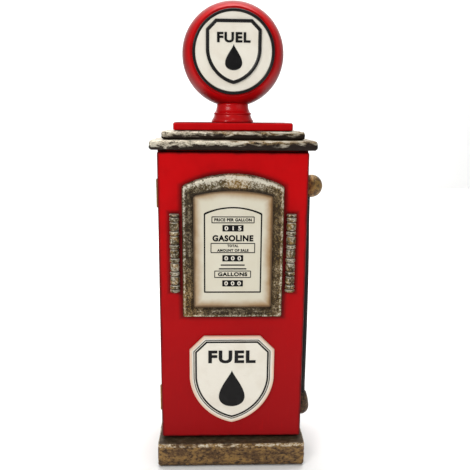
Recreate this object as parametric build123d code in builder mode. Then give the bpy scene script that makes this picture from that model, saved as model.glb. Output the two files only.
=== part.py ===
"""Ornamental gas pump: a small free-standing cabinet in the shape of an old fuel pump.

The frame has +Z up and the front facing -Y. The origin is the centre of the pad under the
plinth. All sizes are millimetres.

The carcase of painted boards stands on a plinth and carries a stepped cornice, a collar and a
round globe held down by one long bolt. The door is the whole front. It turns on two butt hinges
on its left edge, and it carries the dial, its frame, two turned spindles and a badge. A short
hose runs down the right side between a ball outlet and a bell-shaped socket.
"""

import os
from math import radians, tan

from build123d import *

os.makedirs("parts", exist_ok=True)

# ---------------------------------------------------------------- sizes
# Carcase and door
BODY_W = 160.0  # carcase and door, side to side
BODY_D = 100.0  # door face to carcase back
CARCASE_H = 333.0
SIDE_T = 8.0
DECK_T = 8.0  # floor and ceiling boards
BACK_T = 4.0
BACK_REBATE = 4.0  # how far the back board is let into each side
SHELF_T = 6.0
SHELF_PLAY = 0.5  # between a shelf and the boards round it
SHELF_SETBACK = 2.4
SHELF_HEIGHTS = (108.0, 216.0)  # shelf undersides above the carcase foot
DOOR_T = 9.0
DOOR_GAP = 0.6  # between the closed door and the carcase
DOOR_FOOT_GAP = 3.6
DOOR_HEAD_GAP = 2.0
DOOR_EDGE_R = 2.2

# Plinth
PAD_T = 1.5
PAD_MARGIN = 8.0
PLINTH_H = 28.5
PLINTH_SIDE_STEP = 5.0  # past the carcase on each side
PLINTH_FRONT_STEP = 10.0  # past the door face and the back
PLINTH_EDGE_R = 3.0

# Cornice and roof, each a step in from the one below
CORNICE_OUT = 8.0  # lower moulding past the body, all round
CORNICE_H = 10.4
CORNICE_STEP = 12.0  # upper moulding in from the lower one
UPPER_CORNICE_H = 9.0
ROOF_STEP = 12.0
ROOF_H = 8.6

# Collar and globe
COLLAR_FOOT_R = 24.6
COLLAR_WAIST_R = 18.6
COLLAR_H = 21.0
RING_AT = 0.3  # share of the collar's height where its ring starts
RING_H = 3.2
RING_OUT = 2.6
GLOBE_R = 55.3
GLOBE_SINK = 4.0  # how far the globe drops into the collar's cup
GLOBE_HALF_T = 27.0  # mid-plane to the shell's front edge
GLOBE_RIM_LAND = 2.4  # red ring left round the bezel
GLOBE_WALL = 4.0
GLOBE_REAR_RISE = 4.0
GLOBE_REAR_FLAT_R = 12.0
FACE_R = 40.2
FACE_T = 2.6
BEZEL_W = 2.8
BEZEL_T = 3.6
BEZEL_PLAY = 0.2
REBATE_T = 1.0
SEAT_W = 5.0  # ledge that the face disc rests on
CUP_PLAY = 0.2  # between the globe and the collar's cup
GLOBE_BADGE_W = FACE_R * 1.442
GLOBE_BADGE_H = FACE_R * 1.616
GLOBE_BADGE_T = 1.2

# Globe bolt
BOLT_R = 3.0
BOLT_HEAD_R = 5.0
BOLT_HEAD_H = 4.0
WASHER_R = 9.0
WASHER_T = 1.6
INSERT_R = 4.2
INSERT_L = 11.0
INSERT_UP = 0.8  # insert above the globe's lowest point
BOSS_R = 9.0
BOSS_L = 14.0
BOLT_BITE = 9.0  # bolt length inside the insert

# Dial on the door
FRAME_W = 108.8
FRAME_H = 143.8  # foot to the spring of the arch
FRAME_RISE = 13.3
FRAME_STILE = 11.9
FRAME_SILL = 10.0
FRAME_HEAD = 10.5
WINDOW_RISE = 5.7
WINDOW_CORNER_R = 3.0
FRAME_T = 8.0
FRAME_EDGE_R = 2.6
FRAME_BEVEL = 2.0
FRAME_CORNER_R = 3.0
FRAME_FOOT = 151.5  # above the carcase foot
DIAL_T = 2.0
DIAL_LAP = 3.0  # how far the dial plate runs behind the frame
DIAL_PLAY = 0.2
SPINDLE_GAP = 2.7  # between the frame and each spindle
SPINDLE_R = 5.5
SPINDLE_GROOVE_R = 4.0
SPINDLE_LIP = 0.5  # step between a groove and the turning beside it
SPINDLE_OUT = 2.0  # spindle axis in front of the door face
SPINDLE_FOOT = 179.5  # above the carcase foot
CAP_H = 3.0
BEAD_H = 4.4
BARREL_H = 9.0
BARREL_SLIM = 0.5  # barrel radius under the bead radius
GROOVE_H = 0.75
BARREL_COUNT = 5

# Badge on the door
BADGE_W = 95.0
BADGE_H = 105.0
BADGE_T = 2.6
BADGE_FOOT = 23.0
BADGE_RIM_W = 2.4
BADGE_RIM_T = 0.8

# Hinges on the left edge
HINGE_H = 30.0
HINGE_INSET = 45.0  # hinge centre from the door's top and bottom edges
HINGE_OUT = 0.4  # pin axis outside the side's face
LEAF_T = 1.0
LEAF_W = 7.6  # pin axis to the leaf's edge
KNUCKLE_R = 1.8
KNUCKLE_GAP = 0.3  # along the pin and round the other leaf's knuckles
DOOR_KNUCKLE_H = 11.4
PIN_R = 0.9
PIN_HEAD_R = 1.5
PIN_HEAD_H = 0.8
PIN_PLAY = 0.05
MORTISE_PLAY = 0.1

# Magnet catch inside the right edge
CATCH_Z = 167.0  # above the carcase foot
CATCH_W = 8.0
CATCH_D = 14.0
CATCH_H = 36.0
MAGNET_W = 5.0
MAGNET_D = 11.0
MAGNET_H = 16.0
MAGNET_NOSE = 0.3
STRIKE_W = 11.0
STRIKE_H = 30.0
STRIKE_T = 0.8

# Hose and its two fittings on the right side
HOSE_R = 4.2
HOSE_PLAY = 0.15  # radial, in both bores
HOSE_OFF = 0.6  # between the hose and the side, at the outlet
OUTLET_R = 12.8
OUTLET_OUT = 9.6  # ball centre from the side
OUTLET_Z = 291.0  # above the carcase foot
OUTLET_BORE_Z = -7.0  # bore floor, from the ball's centre
SOCKET_R = 9.4
SOCKET_Z = 21.0  # widest ring above the carcase foot
SOCKET_UP = 17.0
SOCKET_DOWN = 11.5
SOCKET_LIP_R = 5.6
SOCKET_FOOT_R = 3.6
SOCKET_BORE = 10.0  # depth below the lip
SOCKET_OUT = 6.7  # socket axis from the side
FITTING_Y = -8.0

# Fasteners
SCREW_PLAY = 0.1
BACK_SCREW_X = 50.0
PLINTH_SCREW_X, PLINTH_SCREW_Y = 55.0, 32.0
CORNICE_SCREW_X, CORNICE_SCREW_Y = 52.0, 26.0
COUNTERBORE_R = 5.2
COUNTERBORE_DEPTH = 13.0
SHELF_PIN_R = 2.5
SHELF_PIN_IN = 5.0
SHELF_PIN_OUT = 6.5
SHELF_PIN_Y = 28.0
SHELF_PIN_DROP = 0.05  # between a shelf and the pins under it

# ---------------------------------------------------------------- places
FOOT_Z = PAD_T + PLINTH_H
HEAD_Z = FOOT_Z + CARCASE_H
SIDE_X = BODY_W / 2
INNER_X = SIDE_X - SIDE_T
FACE_Y = -BODY_D / 2
DOOR_BACK_Y = FACE_Y + DOOR_T
FRONT_Y = DOOR_BACK_Y + DOOR_GAP
REAR_Y = BODY_D / 2
BACK_BOARD_Y = REAR_Y - BACK_T
DOOR_Z = FOOT_Z + DOOR_FOOT_GAP
DOOR_H = CARCASE_H - DOOR_FOOT_GAP - DOOR_HEAD_GAP
HINGE_X = -SIDE_X - HINGE_OUT
HINGE_Y = (DOOR_BACK_Y + FRONT_Y) / 2
HINGE_ZS = (DOOR_Z + HINGE_INSET, DOOR_Z + DOOR_H - HINGE_INSET)
CATCH_MID_Z = FOOT_Z + CATCH_Z
CORNICE_W = BODY_W + 2 * CORNICE_OUT
CORNICE_D = BODY_D + 2 * CORNICE_OUT
UPPER_CORNICE_W = CORNICE_W - 2 * CORNICE_STEP
UPPER_CORNICE_D = CORNICE_D - 2 * CORNICE_STEP
UPPER_CORNICE_Z = HEAD_Z + CORNICE_H
ROOF_Z = UPPER_CORNICE_Z + UPPER_CORNICE_H
COLLAR_Z = ROOF_Z + ROOF_H
GLOBE_Z = COLLAR_Z + COLLAR_H - GLOBE_SINK + GLOBE_R
GLOBE_LOW_Z = GLOBE_Z - GLOBE_R
SEAT_Y = -GLOBE_HALF_T + REBATE_T
BEZEL_R = FACE_R + BEZEL_PLAY + BEZEL_W
GLOBE_RIM_R = BEZEL_R + GLOBE_RIM_LAND
GLOBE_FACE_Y = SEAT_Y - FACE_T
FRAME_Z = FOOT_Z + FRAME_FOOT
SPINDLE_X = FRAME_W / 2 + SPINDLE_GAP + SPINDLE_R
BADGE_Z = FOOT_Z + BADGE_FOOT
OUTLET_MID_Z = FOOT_Z + OUTLET_Z
SOCKET_MID_Z = FOOT_Z + SOCKET_Z
OUTLET_BORE_X = SIDE_X + HOSE_R + HOSE_OFF
SOCKET_X = SIDE_X + SOCKET_OUT
FITTING_ZS = (SOCKET_MID_Z, OUTLET_MID_Z)
SHELF_ZS = [FOOT_Z + height for height in SHELF_HEIGHTS]


def save(piece, name):
    """Label a finished piece and write it as one STEP file."""
    piece.part.label = name
    export_step(piece.part, f"parts/{name}.step")


def seat(x, y, z, out_of_head):
    """A fastener's seat, with its normal pointing out of the head."""
    return Plane(origin=(x, y, z), z_dir=out_of_head)


# ---------------------------------------------------------------- fasteners
# Pan heads: head radius, head height, shank radius
PLINTH_SCREW = (4.4, 3.0, 2.0)
CORNICE_SCREW = (3.4, 2.4, 1.6)
FITTING_SCREW = (3.6, 2.6, 1.8)
CATCH_SCREW = (2.6, 1.8, 1.2)
TRIM_SCREW = (2.9, 1.7, 1.3)
# Flat heads: head radius, shank radius
BACK_SCREW = (2.8, 1.3)
HINGE_SCREW = (1.6, 0.8)
STRIKE_SCREW = (1.7, 0.9)

plinth_screw_l = PLINTH_H - COUNTERBORE_DEPTH + DECK_T - 1.5
cornice_screw_l = DECK_T + CORNICE_H - 3.0
back_screw_l = BACK_T + 10.0
fitting_screw_bite = 7.0
catch_screw_bite = SIDE_T - 2.5
trim_screw_l = DOOR_T + FRAME_T - 3.5
hinge_screw_l = DOOR_T - 2.0
strike_screw_l = DOOR_T - 3.0
pilot_end = 0.5  # hole left beyond a screw's point

plinth_screw_spots = [
    (x, y) for x in (-PLINTH_SCREW_X, PLINTH_SCREW_X) for y in (-PLINTH_SCREW_Y, PLINTH_SCREW_Y)
]
cornice_screw_spots = [
    (x, y) for x in (-CORNICE_SCREW_X, CORNICE_SCREW_X) for y in (-CORNICE_SCREW_Y, CORNICE_SCREW_Y)
]
deck_screw_xs = (-BACK_SCREW_X, 0, BACK_SCREW_X)
back_screw_spots = [(x, z) for x in deck_screw_xs for z in (FOOT_Z + DECK_T / 2, HEAD_Z - DECK_T / 2)]
trim_screw_x = (FRAME_W - FRAME_STILE) / 2
trim_screw_spots = [
    (x, z)
    for x in (-trim_screw_x, trim_screw_x)
    for z in (FRAME_Z + FRAME_SILL * 2, FRAME_Z + FRAME_H - FRAME_HEAD * 2)
]
leaf_mid_x = HINGE_X + (KNUCKLE_R + KNUCKLE_GAP + LEAF_W) / 2
hinge_screw_zs = [z + dz for z in HINGE_ZS for dz in (-HINGE_H * 0.36, HINGE_H * 0.36)]
catch_screw_zs = [CATCH_MID_Z - CATCH_H * 0.36, CATCH_MID_Z + CATCH_H * 0.36]
strike_screw_zs = [CATCH_MID_Z - STRIKE_H * 0.36, CATCH_MID_Z + STRIKE_H * 0.36]
strike_x = INNER_X - CATCH_W / 2
catch_mid_y = FRONT_Y + CATCH_D / 2


def pan_screw(head_r, head_h, shank_r, length):
    """A pan-head wood screw with a cross slot: head above z = 0, point at z = -length."""
    with BuildPart() as screw:
        with BuildSketch(Plane.XZ):
            with BuildLine():
                Polyline(
                    (0, head_h), (head_r * 0.55, head_h), (head_r * 0.9, head_h * 0.72), (head_r, 0),
                    (shank_r, 0), (shank_r, 2.5 * shank_r - length), (0, -length), close=True,
                )
            make_face()
        revolve(axis=Axis.Z)
        with BuildSketch(Plane.XY.offset(head_h)):
            Rectangle(head_r * 1.1, head_r * 0.22)
            Rectangle(head_r * 0.22, head_r * 1.1)
        extrude(amount=-head_h * 0.5, mode=Mode.SUBTRACT)
    return screw.part


def flat_screw(head_r, shank_r, length):
    """A countersunk wood screw with a slot across it: its face at z = 0, point at z = -length."""
    cone_h = head_r - shank_r
    with BuildPart() as screw:
        with BuildSketch(Plane.XZ):
            with BuildLine():
                Polyline(
                    (0, 0), (head_r, 0), (shank_r, -cone_h),
                    (shank_r, 2 * shank_r - length), (0, -length), close=True,
                )
            make_face()
        revolve(axis=Axis.Z)
        with BuildSketch(Plane.XY):
            Rectangle(head_r * 2.4, head_r * 0.25)
        extrude(amount=-cone_h * 0.45, mode=Mode.SUBTRACT)
    return screw.part


def save_screws(screw, seats, name):
    """Write one group of like screws, each in its seat."""
    with BuildPart() as group:
        with Locations(*seats):
            add(screw)
    save(group, name)


def flat_seat_hole(screw):
    """A countersunk clearance hole through the leaf, plate or board that a flat screw holds."""
    head_r, shank_r = screw
    CounterSinkHole(shank_r + SCREW_PLAY, head_r + SCREW_PLAY, counter_sink_angle=90)


# ---------------------------------------------------------------- plinth and pad
with BuildPart() as base_pad:
    with BuildSketch(Plane.XY):
        RectangleRounded(
            BODY_W + 2 * (PLINTH_SIDE_STEP - PAD_MARGIN), BODY_D + 2 * (PLINTH_FRONT_STEP - PAD_MARGIN), 6
        )
    extrude(amount=PAD_T)
save(base_pad, "base_pad")

with BuildPart() as base_plinth:
    with BuildSketch(Plane.XY.offset(PAD_T)):
        RectangleRounded(BODY_W + 2 * PLINTH_SIDE_STEP, BODY_D + 2 * PLINTH_FRONT_STEP, PLINTH_EDGE_R)
    extrude(amount=PLINTH_H)
    fillet(base_plinth.faces().sort_by(Axis.Z)[-1].edges(), PLINTH_EDGE_R * 0.8)
    chamfer(base_plinth.faces().sort_by(Axis.Z)[0].edges(), 0.8)
    with BuildSketch(Plane.XY.offset(PAD_T)):
        with Locations(*plinth_screw_spots):
            Circle(COUNTERBORE_R)
    extrude(amount=COUNTERBORE_DEPTH, mode=Mode.SUBTRACT)
    with BuildSketch(Plane.XY.offset(PAD_T)):
        with Locations(*plinth_screw_spots):
            Circle(PLINTH_SCREW[2] + SCREW_PLAY)
    extrude(amount=PLINTH_H, mode=Mode.SUBTRACT)
save(base_plinth, "base_plinth")

plinth_seats = [seat(x, y, PAD_T + COUNTERBORE_DEPTH, (0, 0, -1)) for x, y in plinth_screw_spots]
save_screws(pan_screw(*PLINTH_SCREW, plinth_screw_l), plinth_seats, "base_screws")


# ---------------------------------------------------------------- carcase
def side_board(side):
    """One side of the carcase, with its back rebate and shelf pin holes: side is -1 left, 1 right."""
    with BuildPart() as board:
        with BuildSketch(Plane.XY.offset(FOOT_Z)):
            with Locations((side * (SIDE_X - SIDE_T / 2), (FRONT_Y + REAR_Y) / 2)):
                Rectangle(SIDE_T, REAR_Y - FRONT_Y)
        extrude(amount=CARCASE_H)
        uprights = board.edges().filter_by(Axis.Z)
        outer_rear = uprights.sort_by(lambda edge: side * edge.center().X + edge.center().Y)[-1]
        fillet(outer_rear, DOOR_EDGE_R)
        with BuildSketch(Plane.XY.offset(FOOT_Z)):
            with Locations((side * (INNER_X + BACK_REBATE / 2), REAR_Y - BACK_T / 2)):
                Rectangle(BACK_REBATE, BACK_T)
        extrude(amount=CARCASE_H, mode=Mode.SUBTRACT)
        pin_seats = [
            seat(side * INNER_X, y, shelf_z - SHELF_PIN_DROP - SHELF_PIN_R, (-side, 0, 0))
            for shelf_z in SHELF_ZS
            for y in (-SHELF_PIN_Y, SHELF_PIN_Y)
        ]
        with Locations(*pin_seats):
            Hole(SHELF_PIN_R + SCREW_PLAY / 2, depth=SHELF_PIN_IN)
    return board.part


def hinge_recess(plate_y):
    """Cuts for both hinges: the leaf's pocket, with its low Y face at plate_y, and the knuckles' notch."""
    with BuildPart() as cuts:
        for hinge_z in HINGE_ZS:
            low_z = hinge_z - HINGE_H / 2 - MORTISE_PLAY
            with BuildSketch(Plane.XY.offset(low_z)):
                with Locations((HINGE_X, plate_y)):
                    Rectangle(LEAF_W + MORTISE_PLAY, LEAF_T, align=(Align.MIN, Align.MIN))
            extrude(amount=HINGE_H + 2 * MORTISE_PLAY)
            with BuildSketch(Plane.XY.offset(low_z)):
                with Locations((HINGE_X, HINGE_Y)):
                    Circle(KNUCKLE_R + KNUCKLE_GAP)
            extrude(amount=HINGE_H + PIN_HEAD_H + KNUCKLE_GAP)
    return cuts.part


frame_leaf_seats = [seat(leaf_mid_x, FRONT_Y, z, (0, -1, 0)) for z in hinge_screw_zs]
door_leaf_seats = [seat(leaf_mid_x, DOOR_BACK_Y, z, (0, 1, 0)) for z in hinge_screw_zs]
fitting_seats = [seat(INNER_X, FITTING_Y, z, (-1, 0, 0)) for z in FITTING_ZS]
catch_seats = [seat(INNER_X - CATCH_W, catch_mid_y, z, (-1, 0, 0)) for z in catch_screw_zs]

left_board = side_board(-1)
frame_recess = hinge_recess(FRONT_Y)
with BuildPart() as left_side:
    add(left_board)
    add(frame_recess, mode=Mode.SUBTRACT)
    with Locations(*frame_leaf_seats):
        Hole(HINGE_SCREW[1] + SCREW_PLAY / 2, depth=hinge_screw_l + pilot_end)
save(left_side, "left_side")

right_board = side_board(1)
with BuildPart() as right_side:
    add(right_board)
    with Locations(*fitting_seats):
        Hole(FITTING_SCREW[2] + SCREW_PLAY, depth=SIDE_T)
    with Locations(*catch_seats):
        Hole(CATCH_SCREW[2] + SCREW_PLAY, depth=CATCH_W + catch_screw_bite + pilot_end)
save(right_side, "right_side")


def deck(z):
    """A board between the two sides, in front of the back board, with its foot at z."""
    with BuildPart() as board:
        with BuildSketch(Plane.XY.offset(z)):
            with Locations((0, (FRONT_Y + BACK_BOARD_Y) / 2)):
                Rectangle(2 * INNER_X, BACK_BOARD_Y - FRONT_Y)
        extrude(amount=DECK_T)
        with Locations(*[seat(x, BACK_BOARD_Y, z + DECK_T / 2, (0, 1, 0)) for x in deck_screw_xs]):
            Hole(BACK_SCREW[1] + SCREW_PLAY, depth=back_screw_l - BACK_T + pilot_end)
    return board.part


floor_board = deck(FOOT_Z)
with BuildPart() as floor_panel:
    add(floor_board)
    with BuildSketch(Plane.XY.offset(FOOT_Z)):
        with Locations(*plinth_screw_spots):
            Circle(PLINTH_SCREW[2] + SCREW_PLAY)
    extrude(amount=DECK_T - 1.0, mode=Mode.SUBTRACT)
save(floor_panel, "floor_panel")

ceiling_board = deck(HEAD_Z - DECK_T)
with BuildPart() as ceiling_panel:
    add(ceiling_board)
    with BuildSketch(Plane.XY.offset(HEAD_Z - DECK_T)):
        with Locations(*cornice_screw_spots):
            Circle(CORNICE_SCREW[2] + SCREW_PLAY)
        Circle(BOLT_R + SCREW_PLAY)
    extrude(amount=DECK_T, mode=Mode.SUBTRACT)
save(ceiling_panel, "ceiling_panel")

back_seats = [seat(x, REAR_Y, z, (0, 1, 0)) for x, z in back_screw_spots]
with BuildPart() as back_panel:
    with BuildSketch(Plane.XY.offset(FOOT_Z)):
        with Locations((0, REAR_Y - BACK_T / 2)):
            Rectangle(2 * (INNER_X + BACK_REBATE), BACK_T)
    extrude(amount=CARCASE_H)
    with Locations(*back_seats):
        flat_seat_hole(BACK_SCREW)
save(back_panel, "back_panel")
save_screws(flat_screw(*BACK_SCREW, back_screw_l), back_seats, "back_screws")


def shelf(z):
    """A loose shelf with its underside at z, standing on four pins."""
    front_y = FRONT_Y + SHELF_SETBACK
    rear_y = BACK_BOARD_Y - SHELF_PLAY
    with BuildPart() as board:
        with BuildSketch(Plane.XY.offset(z)):
            with Locations((0, (front_y + rear_y) / 2)):
                Rectangle(2 * (INNER_X - SHELF_PLAY), rear_y - front_y)
        extrude(amount=SHELF_T)
        fillet(board.edges().filter_by(Axis.X).group_by(Axis.Y)[0], SHELF_T * 0.2)
    return board


for shelf_name, shelf_z in zip(("lower_shelf", "upper_shelf"), SHELF_ZS):
    save(shelf(shelf_z), shelf_name)

with BuildPart() as shelf_pin:
    Cylinder(SHELF_PIN_R, SHELF_PIN_IN + SHELF_PIN_OUT, align=(Align.CENTER, Align.CENTER, Align.MIN))
    chamfer(shelf_pin.faces().sort_by(Axis.Z)[-1].edges(), 0.5)

pin_places = [
    seat(side * (INNER_X + SHELF_PIN_IN), y, shelf_z - SHELF_PIN_DROP - SHELF_PIN_R, (-side, 0, 0))
    for side in (-1, 1)
    for y in (-SHELF_PIN_Y, SHELF_PIN_Y)
    for shelf_z in SHELF_ZS
]
save_screws(shelf_pin.part, pin_places, "shelf_pins")


# ---------------------------------------------------------------- cornice and roof
def moulding(z, width, depth, height, edge_r):
    """A slab with rounded corners and edges, and the globe bolt's hole."""
    with BuildPart() as slab:
        with BuildSketch(Plane.XY.offset(z)):
            RectangleRounded(width, depth, edge_r + 0.5)
        extrude(amount=height)
        fillet(slab.faces().sort_by(Axis.Z)[-1].edges(), edge_r)
        fillet(slab.faces().sort_by(Axis.Z)[0].edges(), edge_r * 0.8)
        with BuildSketch(Plane.XY.offset(z)):
            Circle(BOLT_R + SCREW_PLAY)
        extrude(amount=height, mode=Mode.SUBTRACT)
    return slab


lower_moulding = moulding(HEAD_Z, CORNICE_W, CORNICE_D, CORNICE_H, CORNICE_H * 0.36)
with BuildPart() as lower_cornice:
    add(lower_moulding.part)
    with BuildSketch(Plane.XY.offset(HEAD_Z)):
        with Locations(*cornice_screw_spots):
            Circle(CORNICE_SCREW[2] + SCREW_PLAY)
    extrude(amount=cornice_screw_l - DECK_T + pilot_end, mode=Mode.SUBTRACT)
save(lower_cornice, "lower_cornice")

upper_cornice = moulding(
    UPPER_CORNICE_Z, UPPER_CORNICE_W, UPPER_CORNICE_D, UPPER_CORNICE_H, UPPER_CORNICE_H * 0.36
)
save(upper_cornice, "upper_cornice")

roof_block = moulding(
    ROOF_Z, UPPER_CORNICE_W - 2 * ROOF_STEP, UPPER_CORNICE_D - 2 * ROOF_STEP, ROOF_H, ROOF_H * 0.28
)
save(roof_block, "roof_block")

cornice_seats = [seat(x, y, HEAD_Z - DECK_T, (0, 0, -1)) for x, y in cornice_screw_spots]
save_screws(pan_screw(*CORNICE_SCREW, cornice_screw_l), cornice_seats, "cornice_screws")

# ---------------------------------------------------------------- globe
GLOBE_PLANE = Plane(origin=(0, 0, GLOBE_Z), x_dir=(0, 1, 0), z_dir=(1, 0, 0))
GLOBE_AXIS = Axis((0, 0, GLOBE_Z), (0, 1, 0))


def round_globe(half_t, rim_r, crown_r):
    """A round body on the globe's axis: a flat front, a crowned rim and a shallow domed rear."""
    rear_y = half_t + GLOBE_REAR_RISE
    with BuildPart() as body:
        with BuildSketch(GLOBE_PLANE):
            with BuildLine():
                Line((-half_t, 0), (-half_t, rim_r))
                ThreePointArc((-half_t, rim_r), (0, crown_r), (half_t, rim_r))
                Bezier(
                    (half_t, rim_r), (half_t + GLOBE_REAR_RISE * 0.6, rim_r - 3.0),
                    (rear_y, (rim_r + GLOBE_REAR_FLAT_R) / 2), (rear_y, GLOBE_REAR_FLAT_R),
                )
                Polyline((rear_y, GLOBE_REAR_FLAT_R), (rear_y, 0), (-half_t, 0))
            make_face()
        revolve(axis=GLOBE_AXIS)
    return body.part


globe_body = round_globe(GLOBE_HALF_T, GLOBE_RIM_R, GLOBE_R)
globe_hollow = round_globe(GLOBE_HALF_T - GLOBE_WALL, GLOBE_RIM_R - GLOBE_WALL, GLOBE_R - GLOBE_WALL)
cup_shape = round_globe(GLOBE_HALF_T + CUP_PLAY, GLOBE_RIM_R + CUP_PLAY, GLOBE_R + CUP_PLAY)
globe_front = Plane.XZ.offset(GLOBE_HALF_T)
seat_plane = Plane.XZ.offset(-SEAT_Y)

with BuildPart() as globe_shell:
    add(globe_body)
    add(globe_hollow, mode=Mode.SUBTRACT)
    with BuildSketch(globe_front):
        with Locations((0, GLOBE_Z)):
            Circle(BEZEL_R + BEZEL_PLAY)
    extrude(amount=-REBATE_T, mode=Mode.SUBTRACT)
    with BuildSketch(globe_front):
        with Locations((0, GLOBE_Z)):
            Circle(FACE_R - SEAT_W)
    extrude(amount=-GLOBE_WALL, mode=Mode.SUBTRACT)
    with BuildSketch(Plane.XY.offset(GLOBE_LOW_Z + GLOBE_WALL / 2)):
        Circle(BOSS_R)
    extrude(amount=BOSS_L)
    with BuildSketch(Plane.XY.offset(GLOBE_LOW_Z)):
        Circle(INSERT_R + SCREW_PLAY / 2)
    extrude(amount=INSERT_UP + INSERT_L + 1.0, mode=Mode.SUBTRACT)
save(globe_shell, "globe_shell")

with BuildPart() as globe_insert:
    with BuildSketch(Plane.XY.offset(GLOBE_LOW_Z + INSERT_UP)):
        Circle(INSERT_R)
        Circle(BOLT_R + SCREW_PLAY / 2, mode=Mode.SUBTRACT)
    extrude(amount=INSERT_L)
save(globe_insert, "globe_insert")

with BuildPart() as globe_face:
    with BuildSketch(seat_plane):
        with Locations((0, GLOBE_Z)):
            Circle(FACE_R)
    extrude(amount=FACE_T)
    fillet(globe_face.faces().sort_by(Axis.Y)[0].edges(), 0.6)
save(globe_face, "globe_face")

with BuildPart() as globe_bezel:
    with BuildSketch(seat_plane):
        with Locations((0, GLOBE_Z)):
            Circle(BEZEL_R)
            Circle(FACE_R + BEZEL_PLAY, mode=Mode.SUBTRACT)
    extrude(amount=BEZEL_T)
    fillet(globe_bezel.faces().sort_by(Axis.Y)[0].edges(), BEZEL_W * 0.4)
save(globe_bezel, "globe_bezel")


def shield_badge(back_y, width, height, thickness, foot_z):
    """A heater shield with clipped shoulders, standing on y = back_y, with a raised rim."""
    half_w, top_z, flank_z = width / 2, foot_z + height, foot_z + height * 0.52
    clip = width * 0.17
    with BuildPart() as badge:
        with BuildSketch(Plane.XZ.offset(-back_y)) as outline:
            with BuildLine():
                Polyline(
                    (-half_w, flank_z), (-half_w, top_z - clip), (clip - half_w, top_z),
                    (half_w - clip, top_z), (half_w, top_z - clip), (half_w, flank_z),
                )
                ThreePointArc((half_w, flank_z), (half_w * 0.72, foot_z + height * 0.2), (0, foot_z))
                ThreePointArc((0, foot_z), (-half_w * 0.72, foot_z + height * 0.2), (-half_w, flank_z))
            make_face()
        extrude(amount=thickness)
        with BuildSketch(Plane.XZ.offset(thickness - back_y)):
            add(outline.sketch_local)
            offset(outline.sketch_local, amount=-BADGE_RIM_W, mode=Mode.SUBTRACT)
        extrude(amount=BADGE_RIM_T)
    return badge


globe_badge = shield_badge(
    GLOBE_FACE_Y, GLOBE_BADGE_W, GLOBE_BADGE_H, GLOBE_BADGE_T, GLOBE_Z - GLOBE_BADGE_H / 2
)
save(globe_badge, "globe_badge")

# ---------------------------------------------------------------- collar and globe bolt
with BuildPart() as neck_collar:
    hole_r = BOLT_R + SCREW_PLAY
    flare_r = COLLAR_FOOT_R - RING_OUT
    foot_band_z = COLLAR_Z + 1.2
    ring_low_z = COLLAR_Z + COLLAR_H * RING_AT
    ring_high_z = ring_low_z + RING_H
    top_z = COLLAR_Z + COLLAR_H
    with BuildSketch(Plane.XZ):
        with BuildLine():
            Polyline(
                (hole_r, top_z), (hole_r, COLLAR_Z), (COLLAR_FOOT_R, COLLAR_Z), (COLLAR_FOOT_R, foot_band_z)
            )
            ThreePointArc(
                (COLLAR_FOOT_R, foot_band_z), (COLLAR_FOOT_R - 0.8, (foot_band_z + ring_low_z) / 2),
                (flare_r, ring_low_z),
            )
            ThreePointArc(
                (flare_r, ring_low_z), (flare_r + RING_OUT / 2, ring_low_z + RING_H / 2),
                (flare_r, ring_high_z),
            )
            ThreePointArc(
                (flare_r, ring_high_z),
                (
                    COLLAR_WAIST_R + (flare_r - COLLAR_WAIST_R) * 0.3,
                    ring_high_z + (top_z - ring_high_z) * 0.4,
                ),
                (COLLAR_WAIST_R, top_z),
            )
            Line((COLLAR_WAIST_R, top_z), (hole_r, top_z))
        make_face()
    revolve(axis=Axis.Z)
    add(cup_shape, mode=Mode.SUBTRACT)
save(neck_collar, "neck_collar")

washer_top_z = HEAD_Z - DECK_T
bolt_head_z = washer_top_z - WASHER_T
bolt_tip_z = GLOBE_LOW_Z + INSERT_UP + BOLT_BITE
with BuildPart() as globe_bolt:
    with BuildSketch(Plane.XY.offset(bolt_head_z)):
        Circle(BOLT_R)
    extrude(amount=bolt_tip_z - bolt_head_z)
    chamfer(globe_bolt.faces().sort_by(Axis.Z)[-1].edges(), 0.6)
    with BuildSketch(Plane.XY.offset(bolt_head_z)):
        RegularPolygon(BOLT_HEAD_R, 6, major_radius=False)
    extrude(amount=-BOLT_HEAD_H)
save(globe_bolt, "globe_bolt")

with BuildPart() as globe_washer:
    with BuildSketch(Plane.XY.offset(bolt_head_z)):
        Circle(WASHER_R)
        Circle(BOLT_R + SCREW_PLAY, mode=Mode.SUBTRACT)
    extrude(amount=WASHER_T)
save(globe_washer, "globe_washer")

# ---------------------------------------------------------------- hose and fittings
# The hose's route, from the floor of the outlet's bore to the floor of the socket's.
HOSE_ROUTE = [
    (OUTLET_BORE_X, FITTING_Y, OUTLET_MID_Z + OUTLET_BORE_Z),
    (OUTLET_BORE_X, FITTING_Y, OUTLET_MID_Z - 36.0),
    (OUTLET_BORE_X + 1.6, FITTING_Y + 2.6, OUTLET_MID_Z - 76.0),
    (OUTLET_BORE_X + 2.6, FITTING_Y + 4.6, OUTLET_MID_Z - 124.0),
    (OUTLET_BORE_X + 2.8, FITTING_Y + 4.2, OUTLET_MID_Z - 174.0),
    (SOCKET_X, FITTING_Y, SOCKET_MID_Z + 46.0),
    (SOCKET_X, FITTING_Y, SOCKET_MID_Z + SOCKET_UP - SOCKET_BORE),
]


def corner_radii(route):
    """The arc at each inner point: 0.45 of the shorter run, over the tangent of half the turn."""
    radii = []
    for before, here, after in zip(route, route[1:], route[2:]):
        run_in = Vector(*here) - Vector(*before)
        run_out = Vector(*after) - Vector(*here)
        radii.append(0.45 * min(run_in.length, run_out.length) / tan(radians(run_in.get_angle(run_out)) / 2))
    return radii


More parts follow.
